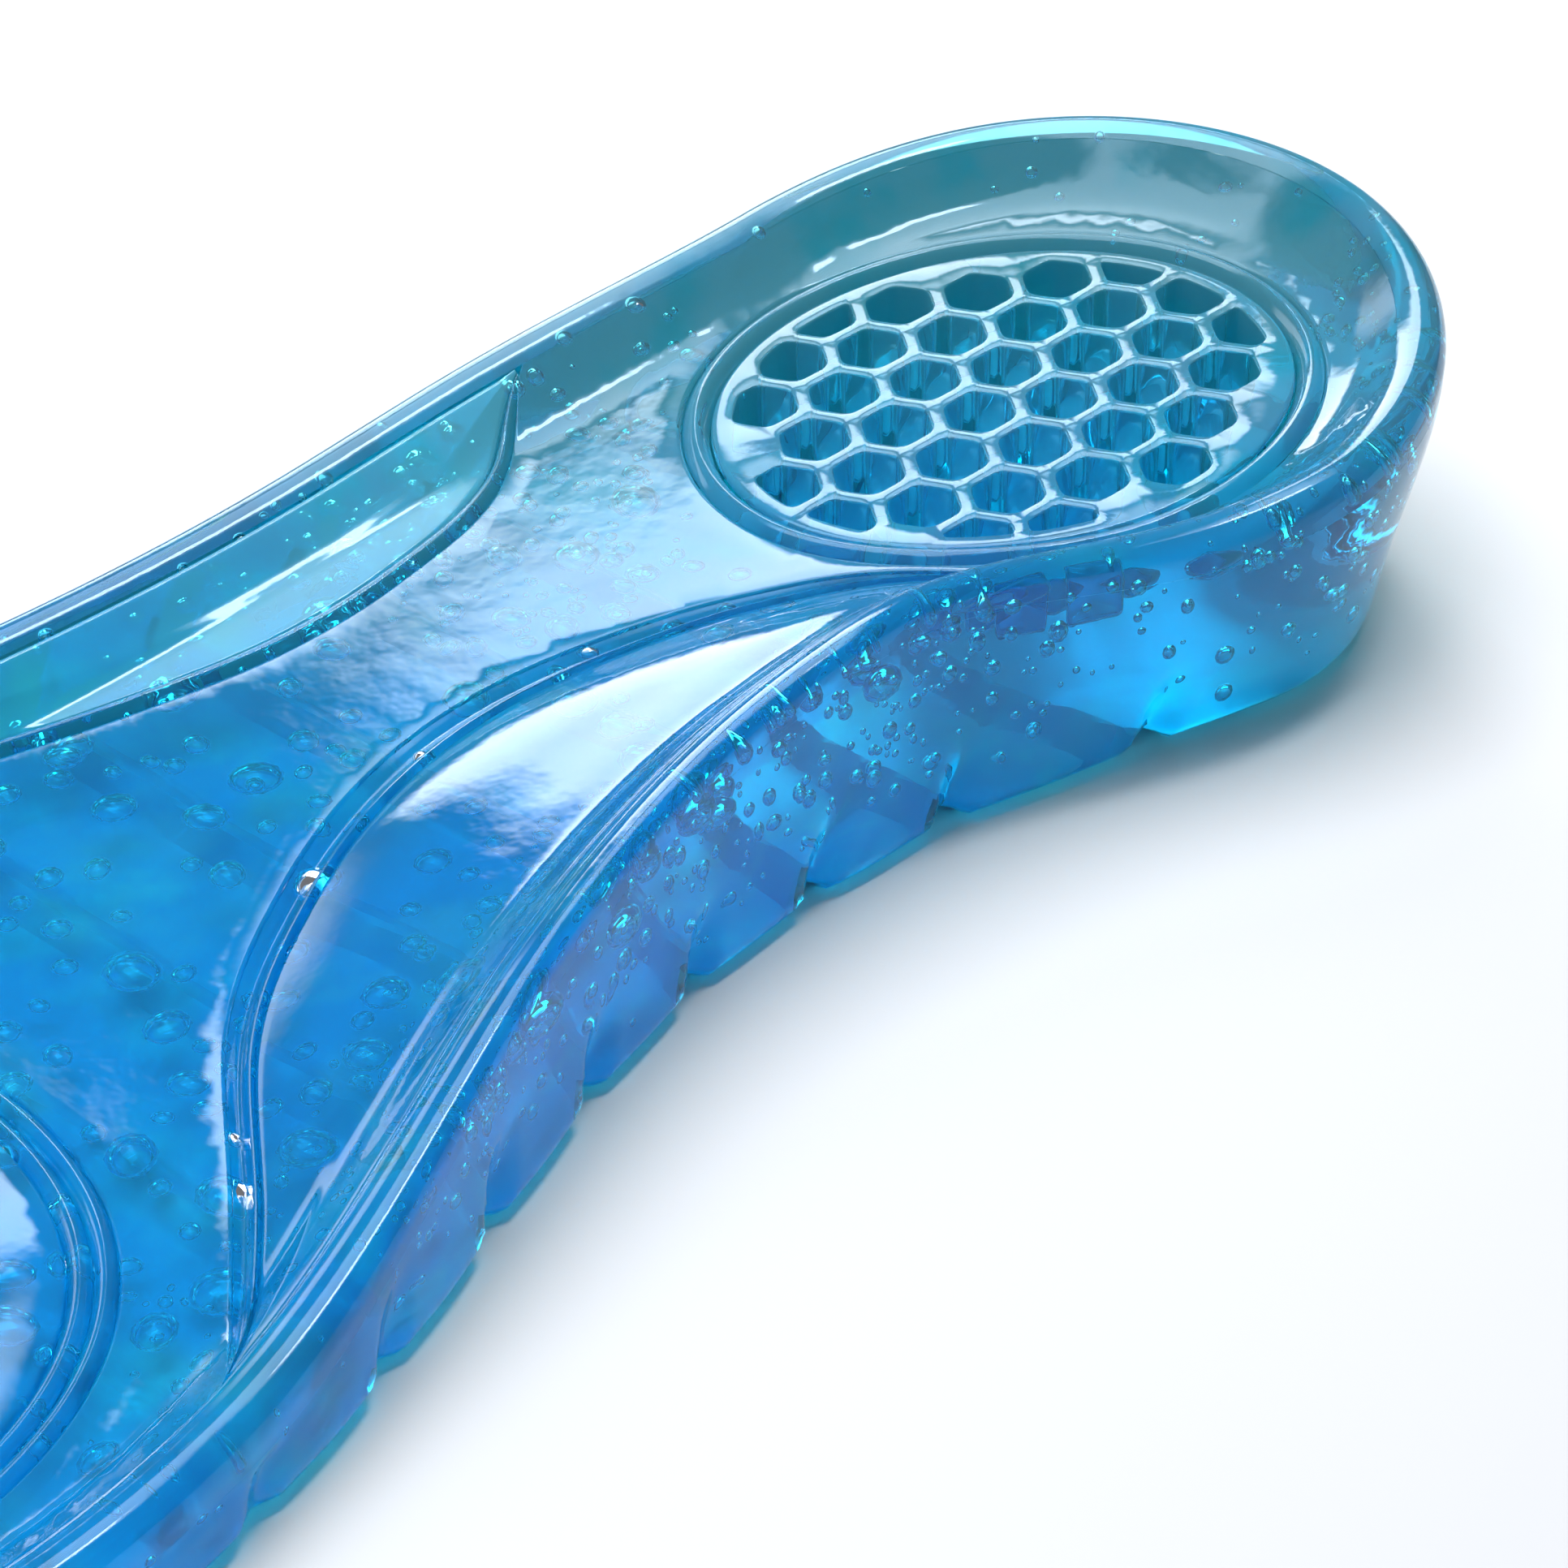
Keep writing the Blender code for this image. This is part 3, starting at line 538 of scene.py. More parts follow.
class Tree:
    """A node tree that is built by adding nodes, each with its settings and inputs."""

    def __init__(self, owner):
        owner.use_nodes = True
        self.nodes, self.links = owner.node_tree.nodes, owner.node_tree.links
        self.nodes.clear()

    def node(self, kind, settings=None, inputs=None, output=0):
        node = self.nodes.new(kind)
        for name, value in (settings or {}).items():
            setattr(node, name, value)
        for name, value in (inputs or {}).items():
            if isinstance(value, Wire):
                self.links.new(value.socket, node.inputs[name])
            else:
                node.inputs[name].default_value = value
        return Wire(self, node.outputs[output]) if node.outputs else node

    def place(self):
        return self.node("ShaderNodeTexCoord", output=3)

    def step(self, value, low, high, top=1.0):
        """Rises smoothly from 0 to the top value while the given one goes from low to high."""
        return self.node("ShaderNodeMapRange", {"interpolation_type": "SMOOTHSTEP"},
                         {0: value, 1: low, 2: high, 3: 0.0, 4: top})

    def dot(self, way, line):
        return self.node("ShaderNodeVectorMath", {"operation": "DOT_PRODUCT"}, {0: way, 1: line}, output=1)

    def mix(self, share, one, other):
        return self.node("ShaderNodeMix", {"data_type": "RGBA"}, {0: share, 6: one, 7: other}, output=2)

    def along_foot(self, heel, toe):
        """A colour that goes smoothly from the toe's to the heel's, along the tints' line."""
        share = self.step(self.dot(self.place(), TINT_LINE), TINT_FROM * MM, TINT_TO * MM)
        return self.mix(share, (*toe, 1.0), (*heel, 1.0))

    def clouded(self, heel, toe, cloud):
        """The colour along the foot with soft patches of another, where a noise is high."""
        patch = self.step(self.noise(CLOUD_NOISE, 4.0), *CLOUD_EDGE, CLOUD_MOST)
        return self.mix(patch, self.along_foot(heel, toe), (*cloud, 1.0))

    def noise(self, scale, detail=2.0):
        return self.node("ShaderNodeTexNoise",
                         inputs={"Vector": self.place(), "Scale": scale, "Detail": detail})


def gel_materials(name, stain, tint="heel_tint", clearness=None):
    """The faces of one gel: open ones, clear and glossy with gentle ripples, bonded ones, which aren't seen,
    and the matt ones of the underside."""
    look = bpy.context.scene.insole_look
    colour = (*getattr(look, stain), 1.0)
    made = []
    for suffix in ("gel", "bond", "matt"):
        material = bpy.data.materials.new(f"{name}_{suffix}")
        tree = Tree(material)
        clear = look.under_clearness if suffix == "matt" else clearness or look.clearness
        inputs = {"Base Color": (1.0, 1.0, 1.0, 1.0), "IOR": look.bend, "Transmission Weight": clear,
                  "Specular Tint": (*look.shine, 1.0)}
        if suffix != "bond":
            ripple = tree.noise(COARSE_RIPPLE) * 0.8 + tree.noise(FINE_RIPPLE) * 0.2
            inputs["Normal"] = tree.node("ShaderNodeBump", inputs={"Strength": 0.3, "Distance": RIPPLE_DEPTH,
                                                                   "Height": ripple})
            least = POLISHED if suffix == "gel" else MATT_ROUGH
            inputs["Roughness"] = tree.noise(GLOSS_NOISE) * 0.03 + least
            tints = (getattr(look, tint), look.toe_tint)
            if suffix == "matt":
                tints = (look.under_heel_tint, look.under_toe_tint)
            inputs["Base Color"] = tree.clouded(*tints, look.cloud_tint)
        else:
            inputs.update({"Alpha": 0.0, "Roughness": 0.0})
        shader = tree.node("ShaderNodeBsdfPrincipled", inputs=inputs)
        stained = tree.node("ShaderNodeVolumeAbsorption", inputs={"Color": colour, "Density": look.depth})
        tree.node("ShaderNodeOutputMaterial", inputs={"Surface": shader, "Volume": stained})
        made.append(material)
    return made


def bubble_material():
    """Air inside gel: the gel's own bend turned over."""
    material = bpy.data.materials.get("trapped_air")
    if material:
        return material
    material = bpy.data.materials.new("trapped_air")
    tree = Tree(material)
    air = tree.node("ShaderNodeBsdfGlass", inputs={"IOR": 1 / bpy.context.scene.insole_look.bend,
                                                   "Roughness": 0.0, "Color": (1.0, 1.0, 1.0, 1.0)})
    tree.node("ShaderNodeOutputMaterial", inputs={"Surface": air})
    return material


# --- Sizes and looks ------------------------------------------------------------------------------

def length(name, description, size):
    return bpy.props.FloatProperty(name=name, description=description, default=size * MM, min=0.0,
                                   unit="LENGTH", subtype="DISTANCE", precision=4)


def stain(name, description, colour):
    return bpy.props.FloatVectorProperty(name=name, description=description, default=colour, min=0.0, max=1.0,
                                         size=3, subtype="COLOR")


class InsoleSizes(bpy.types.PropertyGroup):
    """Sizes of the insole, all lengths"""
    length: length("Length", "Heel to toe", 275.0)
    heel_width: length("Heel width", "Widest part of the heel", 69.3)
    waist_width: length("Waist width", "Narrowest part, under the arch", 59.5)
    ball_width: length("Ball width", "Widest part of the forefoot", 92.0)
    toe_width: length("Toe width", "Width that the toe end is rounded from", 82.0)
    heel_thick: length("Heel thickness", "Footbed above the ground at the heel pad", 18.0)
    forefoot_thick: length("Forefoot thickness", "Footbed above the ground at the ball", 4.8)
    arch_rise: length("Arch rise", "Extra height of the arch support", 6.4)
    footbed_layer: length("Footbed layer", "Thickness of the top skin", 2.4)
    rim_width: length("Rim width", "Width of the raised rim", 4.2)
    cup_wall: length("Cup wall", "Width of the slope inside the rim", 5.4)
    heel_pad_margin: length("Heel pad margin", "Between the heel ring and the cup wall", 0.6)
    ring_width: length("Ring width", "Bead round the heel pad", 2.4)
    ring_rise: length("Ring rise", "Height of the bead round the heel pad", 0.8)
    cell_pitch: length("Cell pitch", "Between the middles of neighbouring cells", 7.0)
    cell_wall: length("Cell wall", "Gel between two cells", 1.4)
    cell_depth: length("Cell depth", "Depth of each cell", 6.0)
    cell_frame: length("Cell frame", "Solid frame round the cells", 1.8)
    core_floor: length("Core floor", "Base gel left under the heel core", 3.6)
    arch_band_width: length("Arch band", "Channel round the arch leaf", 3.2)
    arch_crown: length("Arch crown", "Swell of the arch leaf", 1.6)
    ridge_width: length("Ridge width", "Ridge beside the wing pad", 1.8)
    ridge_rise: length("Ridge rise", "Height of that ridge", 0.7)
    wing_crown: length("Wing crown", "Swell of the wing pad", 1.0)
    forefoot_shift: length("Forefoot shift", "Forefoot pad's place across the foot", 1.5)
    forefoot_pad_length: length("Forefoot pad length", "Length of the forefoot pad's rings", 73.0)
    forefoot_margin: length("Forefoot margin", "Between its outer ring and the cup wall", 0.7)
    forefoot_ring: length("Forefoot ring", "Width of each of its two rings", 1.6)
    forefoot_ring_rise: length("Forefoot ring rise", "Height of each of its rings", 0.5)
    forefoot_crown: length("Forefoot crown", "Swell of the forefoot pad", 0.9)


class InsoleLook(bpy.types.PropertyGroup):
    """Colours of the gel and how it bends light"""
    clear: stain("Clear gel", "What the base gel lets through", (0.0, 0.955, 0.988))
    deep: stain("Deep gel", "What the arch and core gel lets through", (0.0, 0.92, 0.982))
    aqua: stain("Aqua gel", "What the wing gel lets through", (0.45, 0.975, 0.99))
    heel_tint: stain("Heel tint", "Tint of the gel's faces at the heel", (0.38, 0.91, 1.0))
    toe_tint: stain("Toe tint", "Tint of the gel's faces from the arch to the toe", (0.02, 0.62, 1.0))
    # Partly painted reflection: the wing's aqua tint is its own colour, made paler to stand in for the top
    # light's reflection on the wing pad
    wing_tint_and_sheen: stain("Wing tint", "Tint of the wing pad", (0.30, 0.88, 0.98))
    cloud_tint: stain("Cloud tint", "Tint of the paler patches", (0.06, 0.86, 1.0))
    under_heel_tint: stain("Underside at the heel", "Colour of the matt underside there", (0.20, 0.92, 1.0))
    under_toe_tint: stain("Underside at the toe", "Colour of the matt underside there", (0.004, 0.54, 1.0))
    under_clearness: bpy.props.FloatProperty(name="Underside clearness", default=0.06, min=0.0, max=1.0,
                                             description="Share of light that passes the matt underside")
    shine: stain("Shine", "Colour that reflections take", (0.72, 0.90, 1.0))
    clearness: bpy.props.FloatProperty(name="Clearness", default=0.88, min=0.0, max=1.0,
                                       description="Share of light that passes into the gel")
    depth: bpy.props.FloatProperty(name="Stain depth", description="Share of light stopped per metre of gel",
                                   default=100.0, min=0.0)
    bend: bpy.props.FloatProperty(name="Bend", default=1.42, min=1.0,
                                  description="Index of refraction of the gel")
    # Painted shade: the floor runs from this darker colour on the near, arch side to the lighter far one, for
    # how the light falls across the stage
    floor: stain("Floor", "Colour of the stage floor on the arch's side", (0.50, 0.495, 0.48))
    lit_far_floor: stain("Far floor", "Colour of the stage floor beyond the insole", (0.74, 0.73, 0.71))


# --- Operators ------------------------------------------------------------------------------------

class Maker:
    """What the piece operators share: the foot's form, from the scene's sizes."""
    bl_options = {"REGISTER", "UNDO"}

    def foot(self):
        return Foot(bpy.context.scene.insole_sizes)


def groove_places(foot):
    return np.concatenate([RIB_GROOVES, np.arange(RIB_FIRST, foot.size.length - RIB_TOE_MARGIN, RIB_PITCH)])


def groove_share(station, places):
    """1 in the middle of the nearest groove, falling to 0 at its edge as a rounded V."""
    away = np.abs(np.asarray(station)[..., None] - places).min(axis=-1)
    return np.clip(1 - away / GROOVE_HALF, 0, 1) ** 0.8


def lobe_share(station, places):
    """1 midway between two grooves and 0 at each, as an arch."""
    edges = np.concatenate([[places[0] - END_LOBE], places, [places[-1] + END_LOBE]])
    at = np.clip(np.searchsorted(edges, station) - 1, 0, len(edges) - 2)
    share = (station - edges[at]) / (edges[at + 1] - edges[at])
    return 1 - (2 * np.clip(share, 0, 1) - 1) ** 2


class INSOLE_OT_base(Maker, bpy.types.Operator):
    """Base: a wall carried round the outline, and an underside of cross ribs between its two sides"""
    bl_idname = "insole.base"
    bl_label = "Base"

    def execute(self, context):
        foot = self.foot()
        s = foot.size
        places, outline = groove_places(foot), foot.outline
        rows, heights = foot.wall(outline, foot.station(outline), foot.rim_foot(outline), places)
        ring = [lifted(row, height) for row, height in zip(rows, heights)]
        sheets = Sheets()
        sheets.grid(ring, GEL)
        # Underside: straight lines from the wall's foot on one side to its foot on the other
        foot_line = ring[-1]
        right = foot_line[:SIDE_STEPS + 1]
        left = np.vstack([foot_line[SIDE_STEPS:], foot_line[:1]])[::-1]
        share = np.linspace(0, 1, UNDER_LINES)[:, None, None]
        under = right[None] * (1 - share) + left[None] * share
        along = foot.station(under[1:-1, :, :2])
        under[1:-1, :, 2] = foot.groove_depth(along) * groove_share(along, places)
        sheets.grid(under, MATT, closed=False)
        # Top: straight under the rim, and open only at the pocket for the heel core
        pocket = foot.heel_oval(s.ring_width + SEAM)
        inner = offset(outline, s.rim_width)

        def top(points):
            return foot.bed(points) - SEAM

        def pocket_floor(points):
            return np.full(len(points), s.core_floor)

        sheets.grid([ring[0], lifted(inner, top(inner))], BOND)
        sheets.fill([inner, pocket], top, BOND, spacing=COARSE_FILL)
        sheets.grid([lifted(pocket, top(pocket)), lifted(pocket, pocket_floor(pocket))], BOND)
        sheets.fill([pocket], pocket_floor, BOND, spacing=COARSE_FILL)
        piece = sheets.piece("gel_base_body", gel_materials("base", "clear"))
        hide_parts("gel_base")
        return {"FINISHED"}


def crowned(foot, loop, crown, reach=9.0):
    """Height function of a pad: the footbed plus a swell that grows inward from the pad's own edge."""
    def height(points):
        share = np.clip(inset_of(points, loop) / reach, 0, 1)
        return foot.top(points) + crown * (1 - (1 - share) ** 2)
    return height


class INSOLE_OT_footbed(Maker, bpy.types.Operator):
    """Footbed: the top skin inside the rim, open where each pad sits, with rounded edges at those openings"""
    bl_idname = "insole.footbed"
    bl_label = "Footbed"

    def execute(self, context):
        foot = self.foot()
        edge, rounding = foot.footbed_edge()
        # A hole's edge rounds away from the hole, so its loop runs the other way round
        loops = [edge, foot.heel_oval(-SEAM)[::-1], foot.forefoot_oval(-SEAM)[::-1]]
        leaf_round, *oval_rounds = EDGE_ROUNDS
        piece = plate("footbed_skin", loops, [leaf_round * rounding, *oval_rounds], foot.top, foot.bed,
                      gel_materials("footbed", "clear"))
        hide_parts("footbed_layer")
        return {"FINISHED"}


class INSOLE_OT_rim(Maker, bpy.types.Operator):
    """Rim: a quarter-round shoulder up to the crest and a slope inward, carried round the outline"""
    bl_idname = "insole.rim"
    bl_label = "Rim"

    def execute(self, context):
        foot = self.foot()
        s, outline = foot.size, foot.outline
        turn = np.linspace(0, np.pi / 2, SHOULDER_ROWS)
        slope = np.linspace(CREST, s.rim_width, SLOPE_ROWS)[1:]
        insets = np.concatenate([CREST * (1 - np.cos(turn)), slope])
        falls = np.concatenate([SHOULDER * (1 - np.sin(turn)), 0 * slope])
        rows = [lifted(outline, foot.rim_foot(outline) + SEAM)]
        for inset, fall in zip(insets, falls):
            place = offset(outline, inset)
            height = foot.ground_rise(place) + foot.rim_rise(place) * foot.cup(inset)
            rows.append(lifted(place, height - fall))
        inner = offset(outline, s.rim_width)
        rows.append(lifted(inner, foot.bed(inner)))
        slots = [GEL] * (len(rows) - 2) + [BOND, BOND]
        piece = swept("edge_rim_bead", rows, slots, gel_materials("rim", "clear"))
        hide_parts("edge_rim")
        return {"FINISHED"}


def bead_rows(foot, oval_at, width, profile):
    """Rows of a bead round an oval, from (share of the width, rise) rows, and its two bonded sides."""
    rows = []
    for share, rise in profile:
        place = oval_at(share * width)
        rows.append(lifted(place, foot.top(place) + rise))
    first, last = rows[0][:, :2], rows[-1][:, :2]
    rows += [lifted(last, foot.bed(last)), lifted(first, foot.bed(first))]
    return rows, [GEL] * (len(profile) - 1) + [BOND] * 3


def round_bead(rise, dip_out, dip_in, steps=13):
    """Profile of a bead: a half sine of the given rise over edges that dip below the footbed."""
    share = np.linspace(0, 1, steps)
    dip = dip_out * (1 - share) + dip_in * share
    return np.column_stack([share, rise * np.sin(np.pi * share) - dip])


class INSOLE_OT_heel(Maker, bpy.types.Operator):
    """Heel: the ring's bead round an oval, the pad of hexagonal cells inside it, and the core below"""
    bl_idname = "insole.heel"
    bl_label = "Heel ring, cells and core"

    def execute(self, context):
        foot = self.foot()
        s = foot.size
        profile = round_bead(s.ring_rise + 0.35, dip_out=0.3, dip_in=0.8)
        rows, slots = bead_rows(foot, foot.heel_oval, s.ring_width, profile)
        ring = swept("heel_ring_bead", rows, slots, gel_materials("ring", "clear"))
        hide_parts("heel_ring")
        self.cells(foot)
        pocket = foot.heel_oval(s.ring_width + 2 * SEAM)

        def core_top(points):
            return foot.top(points) - s.cell_depth - CELL_FLOOR - SEAM

        def core_bottom(points):
            return np.full(len(points), s.core_floor + SEAM)

        core = plate("heel_core_gel", [pocket], [0], core_top, core_bottom, gel_materials("core", "deep"),
                     spacing=COARSE_FILL)
        core.data.polygons.foreach_set("material_index", [BOND] * len(core.data.polygons))
        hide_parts("heel_core")
        return {"FINISHED"}

    def cells(self, foot):
        """The pad: a rounded frame, and each cell's levels carried down to a floor of its own."""
        s = foot.size
        pad = foot.heel_oval(s.ring_width + SEAM)

        def underside(points):
            return foot.top(points) - s.cell_depth - CELL_FLOOR

        sheets = Sheets()
        rows = lip_rows(pad, foot.top, PAD_ROUND)
        sheets.grid(rows, GEL)
        sheets.grid([lifted(pad, underside(pad)), rows[0]], BOND)
        mouths = []
        for loop in cell_loops(foot):
            levels = cell_levels(foot, loop)
            sheets.grid(levels, GEL)
            mouths.append(levels[0][:, :2])
        sheets.fill([rows[-1][:, :2], *mouths], foot.top, GEL, spacing=None)
        sheets.fill([pad], underside, BOND, spacing=COARSE_FILL)
        materials = gel_materials("cells", "clear", clearness=CELL_CLEARNESS)
        piece = sheets.piece("heel_cell_pad", materials, sharp=PAD_SHARP)
        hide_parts("heel_honeycomb_pad")


def cell_levels(foot, loop):
    """Rows of one cell: a rounded mouth, a wall that tapers downward, and a rounded edge to the floor."""
    top, deep = foot.top, foot.size.cell_depth
    flat = top(loop)
    levels = []
    for turn in np.linspace(0, np.pi / 2, 4):
        place = offset(loop, -CELL_MOUTH * (1 - math.sin(turn)))
        levels.append(lifted(place, top(place) - CELL_MOUTH * (1 - math.cos(turn))))
    straight = deep - CELL_MOUTH - CELL_BASE
    for share in (0.35, 0.7):
        levels.append(lifted(offset(loop, CELL_DRAFT * share), flat - CELL_MOUTH - straight * share))
    for turn in np.linspace(0, np.pi / 2, 5):
        place = offset(loop, CELL_DRAFT + CELL_BASE * (1 - math.cos(turn)))
        levels.append(lifted(place, flat - deep + CELL_BASE * (1 - math.sin(turn))))
    middle, edge = loop.mean(axis=0), levels[-1][:, :2]
    for share in (0.66, 0.33, 0.0):
        place = middle + (edge - middle) * share
        levels.append(lifted(place, top(place) - deep))
    return levels


def cell_loops(foot):
    """Cells on a triangular lattice: each reaches out from its middle to its hexagon or to the pad's frame,
    whichever is nearer, and its corners are rounded by averaging neighbouring points."""
    s = foot.size
    inset = s.ring_width + SEAM + s.cell_frame
    frame_loop = foot.heel_oval(inset)
    middle = frame_loop.mean(axis=0)
    row_turn = CELL_TURN + math.radians(60)
    step = s.cell_pitch * np.array([math.cos(CELL_TURN), math.sin(CELL_TURN)])
    row_step = s.cell_pitch * np.array([math.cos(row_turn), math.sin(row_turn)])
    reach = int(np.ptp(frame_loop, axis=0).max() / s.cell_pitch) + 1
    column, row = np.meshgrid(np.arange(-reach, reach + 1), np.arange(-reach, reach + 1))
    column, row = column.reshape(-1, 1) + CELL_PHASE[0], row.reshape(-1, 1) + CELL_PHASE[1]
    places = middle + column * step + row * row_step
    apothem = (s.cell_pitch - s.cell_wall) / 2
    sides = CELL_TURN + np.radians(60 * np.arange(6))
    facing = np.column_stack([np.cos(sides), np.sin(sides)])
    angle = np.linspace(0, 2 * np.pi, CELL_RAYS + 1)[:-1]
    ray = np.column_stack([np.cos(angle), np.sin(angle)])
    half = s.heel_width / 2 - s.rim_width - s.cup_wall - s.heel_pad_margin - inset
    long = (half + inset) * HEEL_PAD_LONG - inset
    turn = np.array([[math.cos(HEEL_PAD_TURN), math.sin(HEEL_PAD_TURN)],
                     [-math.sin(HEEL_PAD_TURN), math.cos(HEEL_PAD_TURN)]])
    scale = np.array([half, long])
    loops = []
    for place in places:
        local = turn @ (place - middle) / scale
        far = np.linalg.norm(local)
        start = place if far < CELL_SEEN else middle + (place - middle) * CELL_SEEN / far
        gap = apothem - (start - place) @ facing.T
        if gap.min() <= CELL_NEAREST:
            continue
        toward = ray @ facing.T
        hexagon = np.where(toward > 1e-6, gap / np.maximum(toward, 1e-6), np.inf).min(axis=1)
        origin, heading = turn @ (start - middle) / scale, (ray @ turn.T) / scale
        a, b, c = (heading ** 2).sum(1), heading @ origin, origin @ origin - 1
        to_frame = (-b + np.sqrt(np.maximum(b * b - a * c, 0))) / a
        outline = start + ray * np.minimum(hexagon, to_frame)[:, None]
        area = abs(np.dot(outline[:, 0], np.roll(outline[:, 1], -1))
                   - np.dot(outline[:, 1], np.roll(outline[:, 0], -1))) / 2
        if area < CELL_LEAST * 2 * math.sqrt(3) * apothem ** 2:
            continue
        loop = evenly(np.vstack([outline, outline[:1]]), CELL_POINTS)[:-1]
        for _ in range(2):
            loop = (np.roll(loop, 1, axis=0) + loop + np.roll(loop, -1, axis=0)) / 3
        loops.append(loop)
    return loops


def strip_piece(name, foot, band, profile, materials, columns=17):
    """A closed strip between its two side lines, with one profile across it that fades at thin tips."""
    share = np.linspace(0, 1, columns)
    over = spline(share, profile)

    def shares(wide):
        return share[:, None] + 0 * wide

    def rise(points, wide):
        return over[:, None] * np.clip(wide / STRIP_FULL, 0, 1)

    return ribbon(name, foot, band, shares, rise, materials)


def leaf_piece(name, foot, leaf, crown, materials):
    """A closed leaf pad, whose top swells inward from its edge and rounds off along both its sides."""
    turn = np.linspace(0, np.pi / 2, 5)
    lip_in, lip_down = 1 - np.cos(turn), 1 - np.sin(turn)
    inner = np.linspace(0, 1, LEAF_LINES + 2)[1:-1, None]
    height = crowned(foot, leaf, crown)

    def shares(wide):
        lip = np.minimum(LEAF_ROUND, LIP_MOST * wide) / wide
        near = lip_in[:, None] * lip
        return np.vstack([near, lip + (1 - 2 * lip) * inner, 1 - near[::-1]])

    def over(points, wide):
        near = lip_down[:, None] * np.minimum(LEAF_ROUND, LIP_MOST * wide)
        drop = np.vstack([near, np.zeros((LEAF_LINES, len(wide))), near[::-1]])
        return height(points).reshape(drop.shape) - foot.top(points).reshape(drop.shape) - drop

    return ribbon(name, foot, leaf, shares, over, materials)


def ribbon(name, foot, loop, shares, over, materials):
    """A closed piece between two side lines: cross lines at the given shares, raised over the footbed."""
    steps = LEAF_STEPS + 1
    right, left = loop[:steps], loop[steps:][::-1]
    wide = np.linalg.norm(right - left, axis=1)
    share = shares(wide)[..., None]
    plan = left[None] * (1 - share) + right[None] * share
    columns = len(plan)
    flat = plan.reshape(-1, 2)
    upper = np.dstack([plan, foot.top(flat).reshape(columns, steps) + over(flat, wide)])
    lower = np.dstack([plan, foot.bed(flat).reshape(columns, steps)])
    sheets = Sheets()
    sheets.grid(upper, GEL, closed=False)
    sheets.grid(lower, BOND, closed=False)
    for edge in (0, -1):
        sheets.grid([upper[edge], lower[edge]], BOND, closed=False)
        sheets.grid([upper[:, edge], lower[:, edge]], BOND, closed=False)
    return sheets.piece(name, materials, sharp=PAD_SHARP)


class INSOLE_OT_arch(Maker, bpy.types.Operator):
    """Arch: a leaf that swells from its own edge, and the channel with a raised lip round its free edge"""
    bl_idname = "insole.arch"
    bl_label = "Arch leaf and band"

    def execute(self, context):
        foot = self.foot()
        pad, band = foot.leaf(-1)
        leaf = leaf_piece("arch_leaf_pad", foot, pad, foot.size.arch_crown, gel_materials("arch", "deep"))
        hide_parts("arch_pad")
        channel = strip_piece("arch_band_channel", foot, band, ARCH_PROFILE, gel_materials("band", "deep"))
        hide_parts("arch_band")
        return {"FINISHED"}


class INSOLE_OT_wing(Maker, bpy.types.Operator):
    """Wing: a pad that swells from its own edge on the outer side, behind a thin rounded ridge"""
    bl_idname = "insole.wing"
    bl_label = "Wing pad and ridge"

    def execute(self, context):
        foot = self.foot()
        s = foot.size
        pad, band = foot.leaf(1)
        # The wing's tint holds a painted reflection: it is paler to stand in for the top light's sheen on the
        # pad
        materials = gel_materials("wing", "aqua", tint="wing_tint_and_sheen", clearness=WING_CLEARNESS)
        wing = leaf_piece("wing_side_pad", foot, pad, s.wing_crown, materials)
        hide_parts("wing_pad")
        rise = s.ridge_rise
        profile = ((0.0, -0.3), (0.3, rise * 0.8), (0.5, rise), (0.7, rise * 0.8), (1.0, -0.4))
        materials = gel_materials("ridge", "clear")
        ridge = strip_piece("wing_edge_ridge", foot, band, profile, materials, columns=13)
        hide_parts("wing_ridge")
        return {"FINISHED"}


class INSOLE_OT_forefoot(Maker, bpy.types.Operator):
    """Forefoot: two beads round a filled oval, and a pad that swells from the inner one"""
    bl_idname = "insole.forefoot"
    bl_label = "Forefoot rings and pad"

    def execute(self, context):
        foot = self.foot()
        s = foot.size
        profile = round_bead(s.forefoot_ring_rise + 0.3, dip_out=0.3, dip_in=0.4, steps=11)
        inset = 0.0
        for name in ("forefoot_outer_ring", "forefoot_inner_ring"):
            def oval_at(more, start=inset):
                return foot.forefoot_oval(start + more)

            rows, slots = bead_rows(foot, oval_at, s.forefoot_ring, profile)
            ring = swept(name + "_bead", rows, slots, gel_materials(name, "clear"))
            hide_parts(name)
            inset += s.forefoot_ring + SEAM
        loop = foot.forefoot_oval(inset)
        pad = plate("forefoot_oval_pad", [loop], [0.45], crowned(foot, loop, s.forefoot_crown), foot.bed,
                    gel_materials("forefoot", "clear"))
        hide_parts("forefoot_pad")
        return {"FINISHED"}


class INSOLE_OT_bubbles(Maker, bpy.types.Operator):
    """Bubbles: low ellipsoids of trapped air, scattered through the gel and kept clear of each other"""
    bl_idname = "insole.bubbles"
    bl_label = "Trapped bubbles"

    def execute(self, context):
        foot = self.foot()
        rng = np.random.default_rng(11)
        for name, region in bubble_regions(foot).items():
            centres, radii = scatter(foot, rng, **region)
            ellipsoids(name, centres, radii, rng)
        return {"FINISHED"}


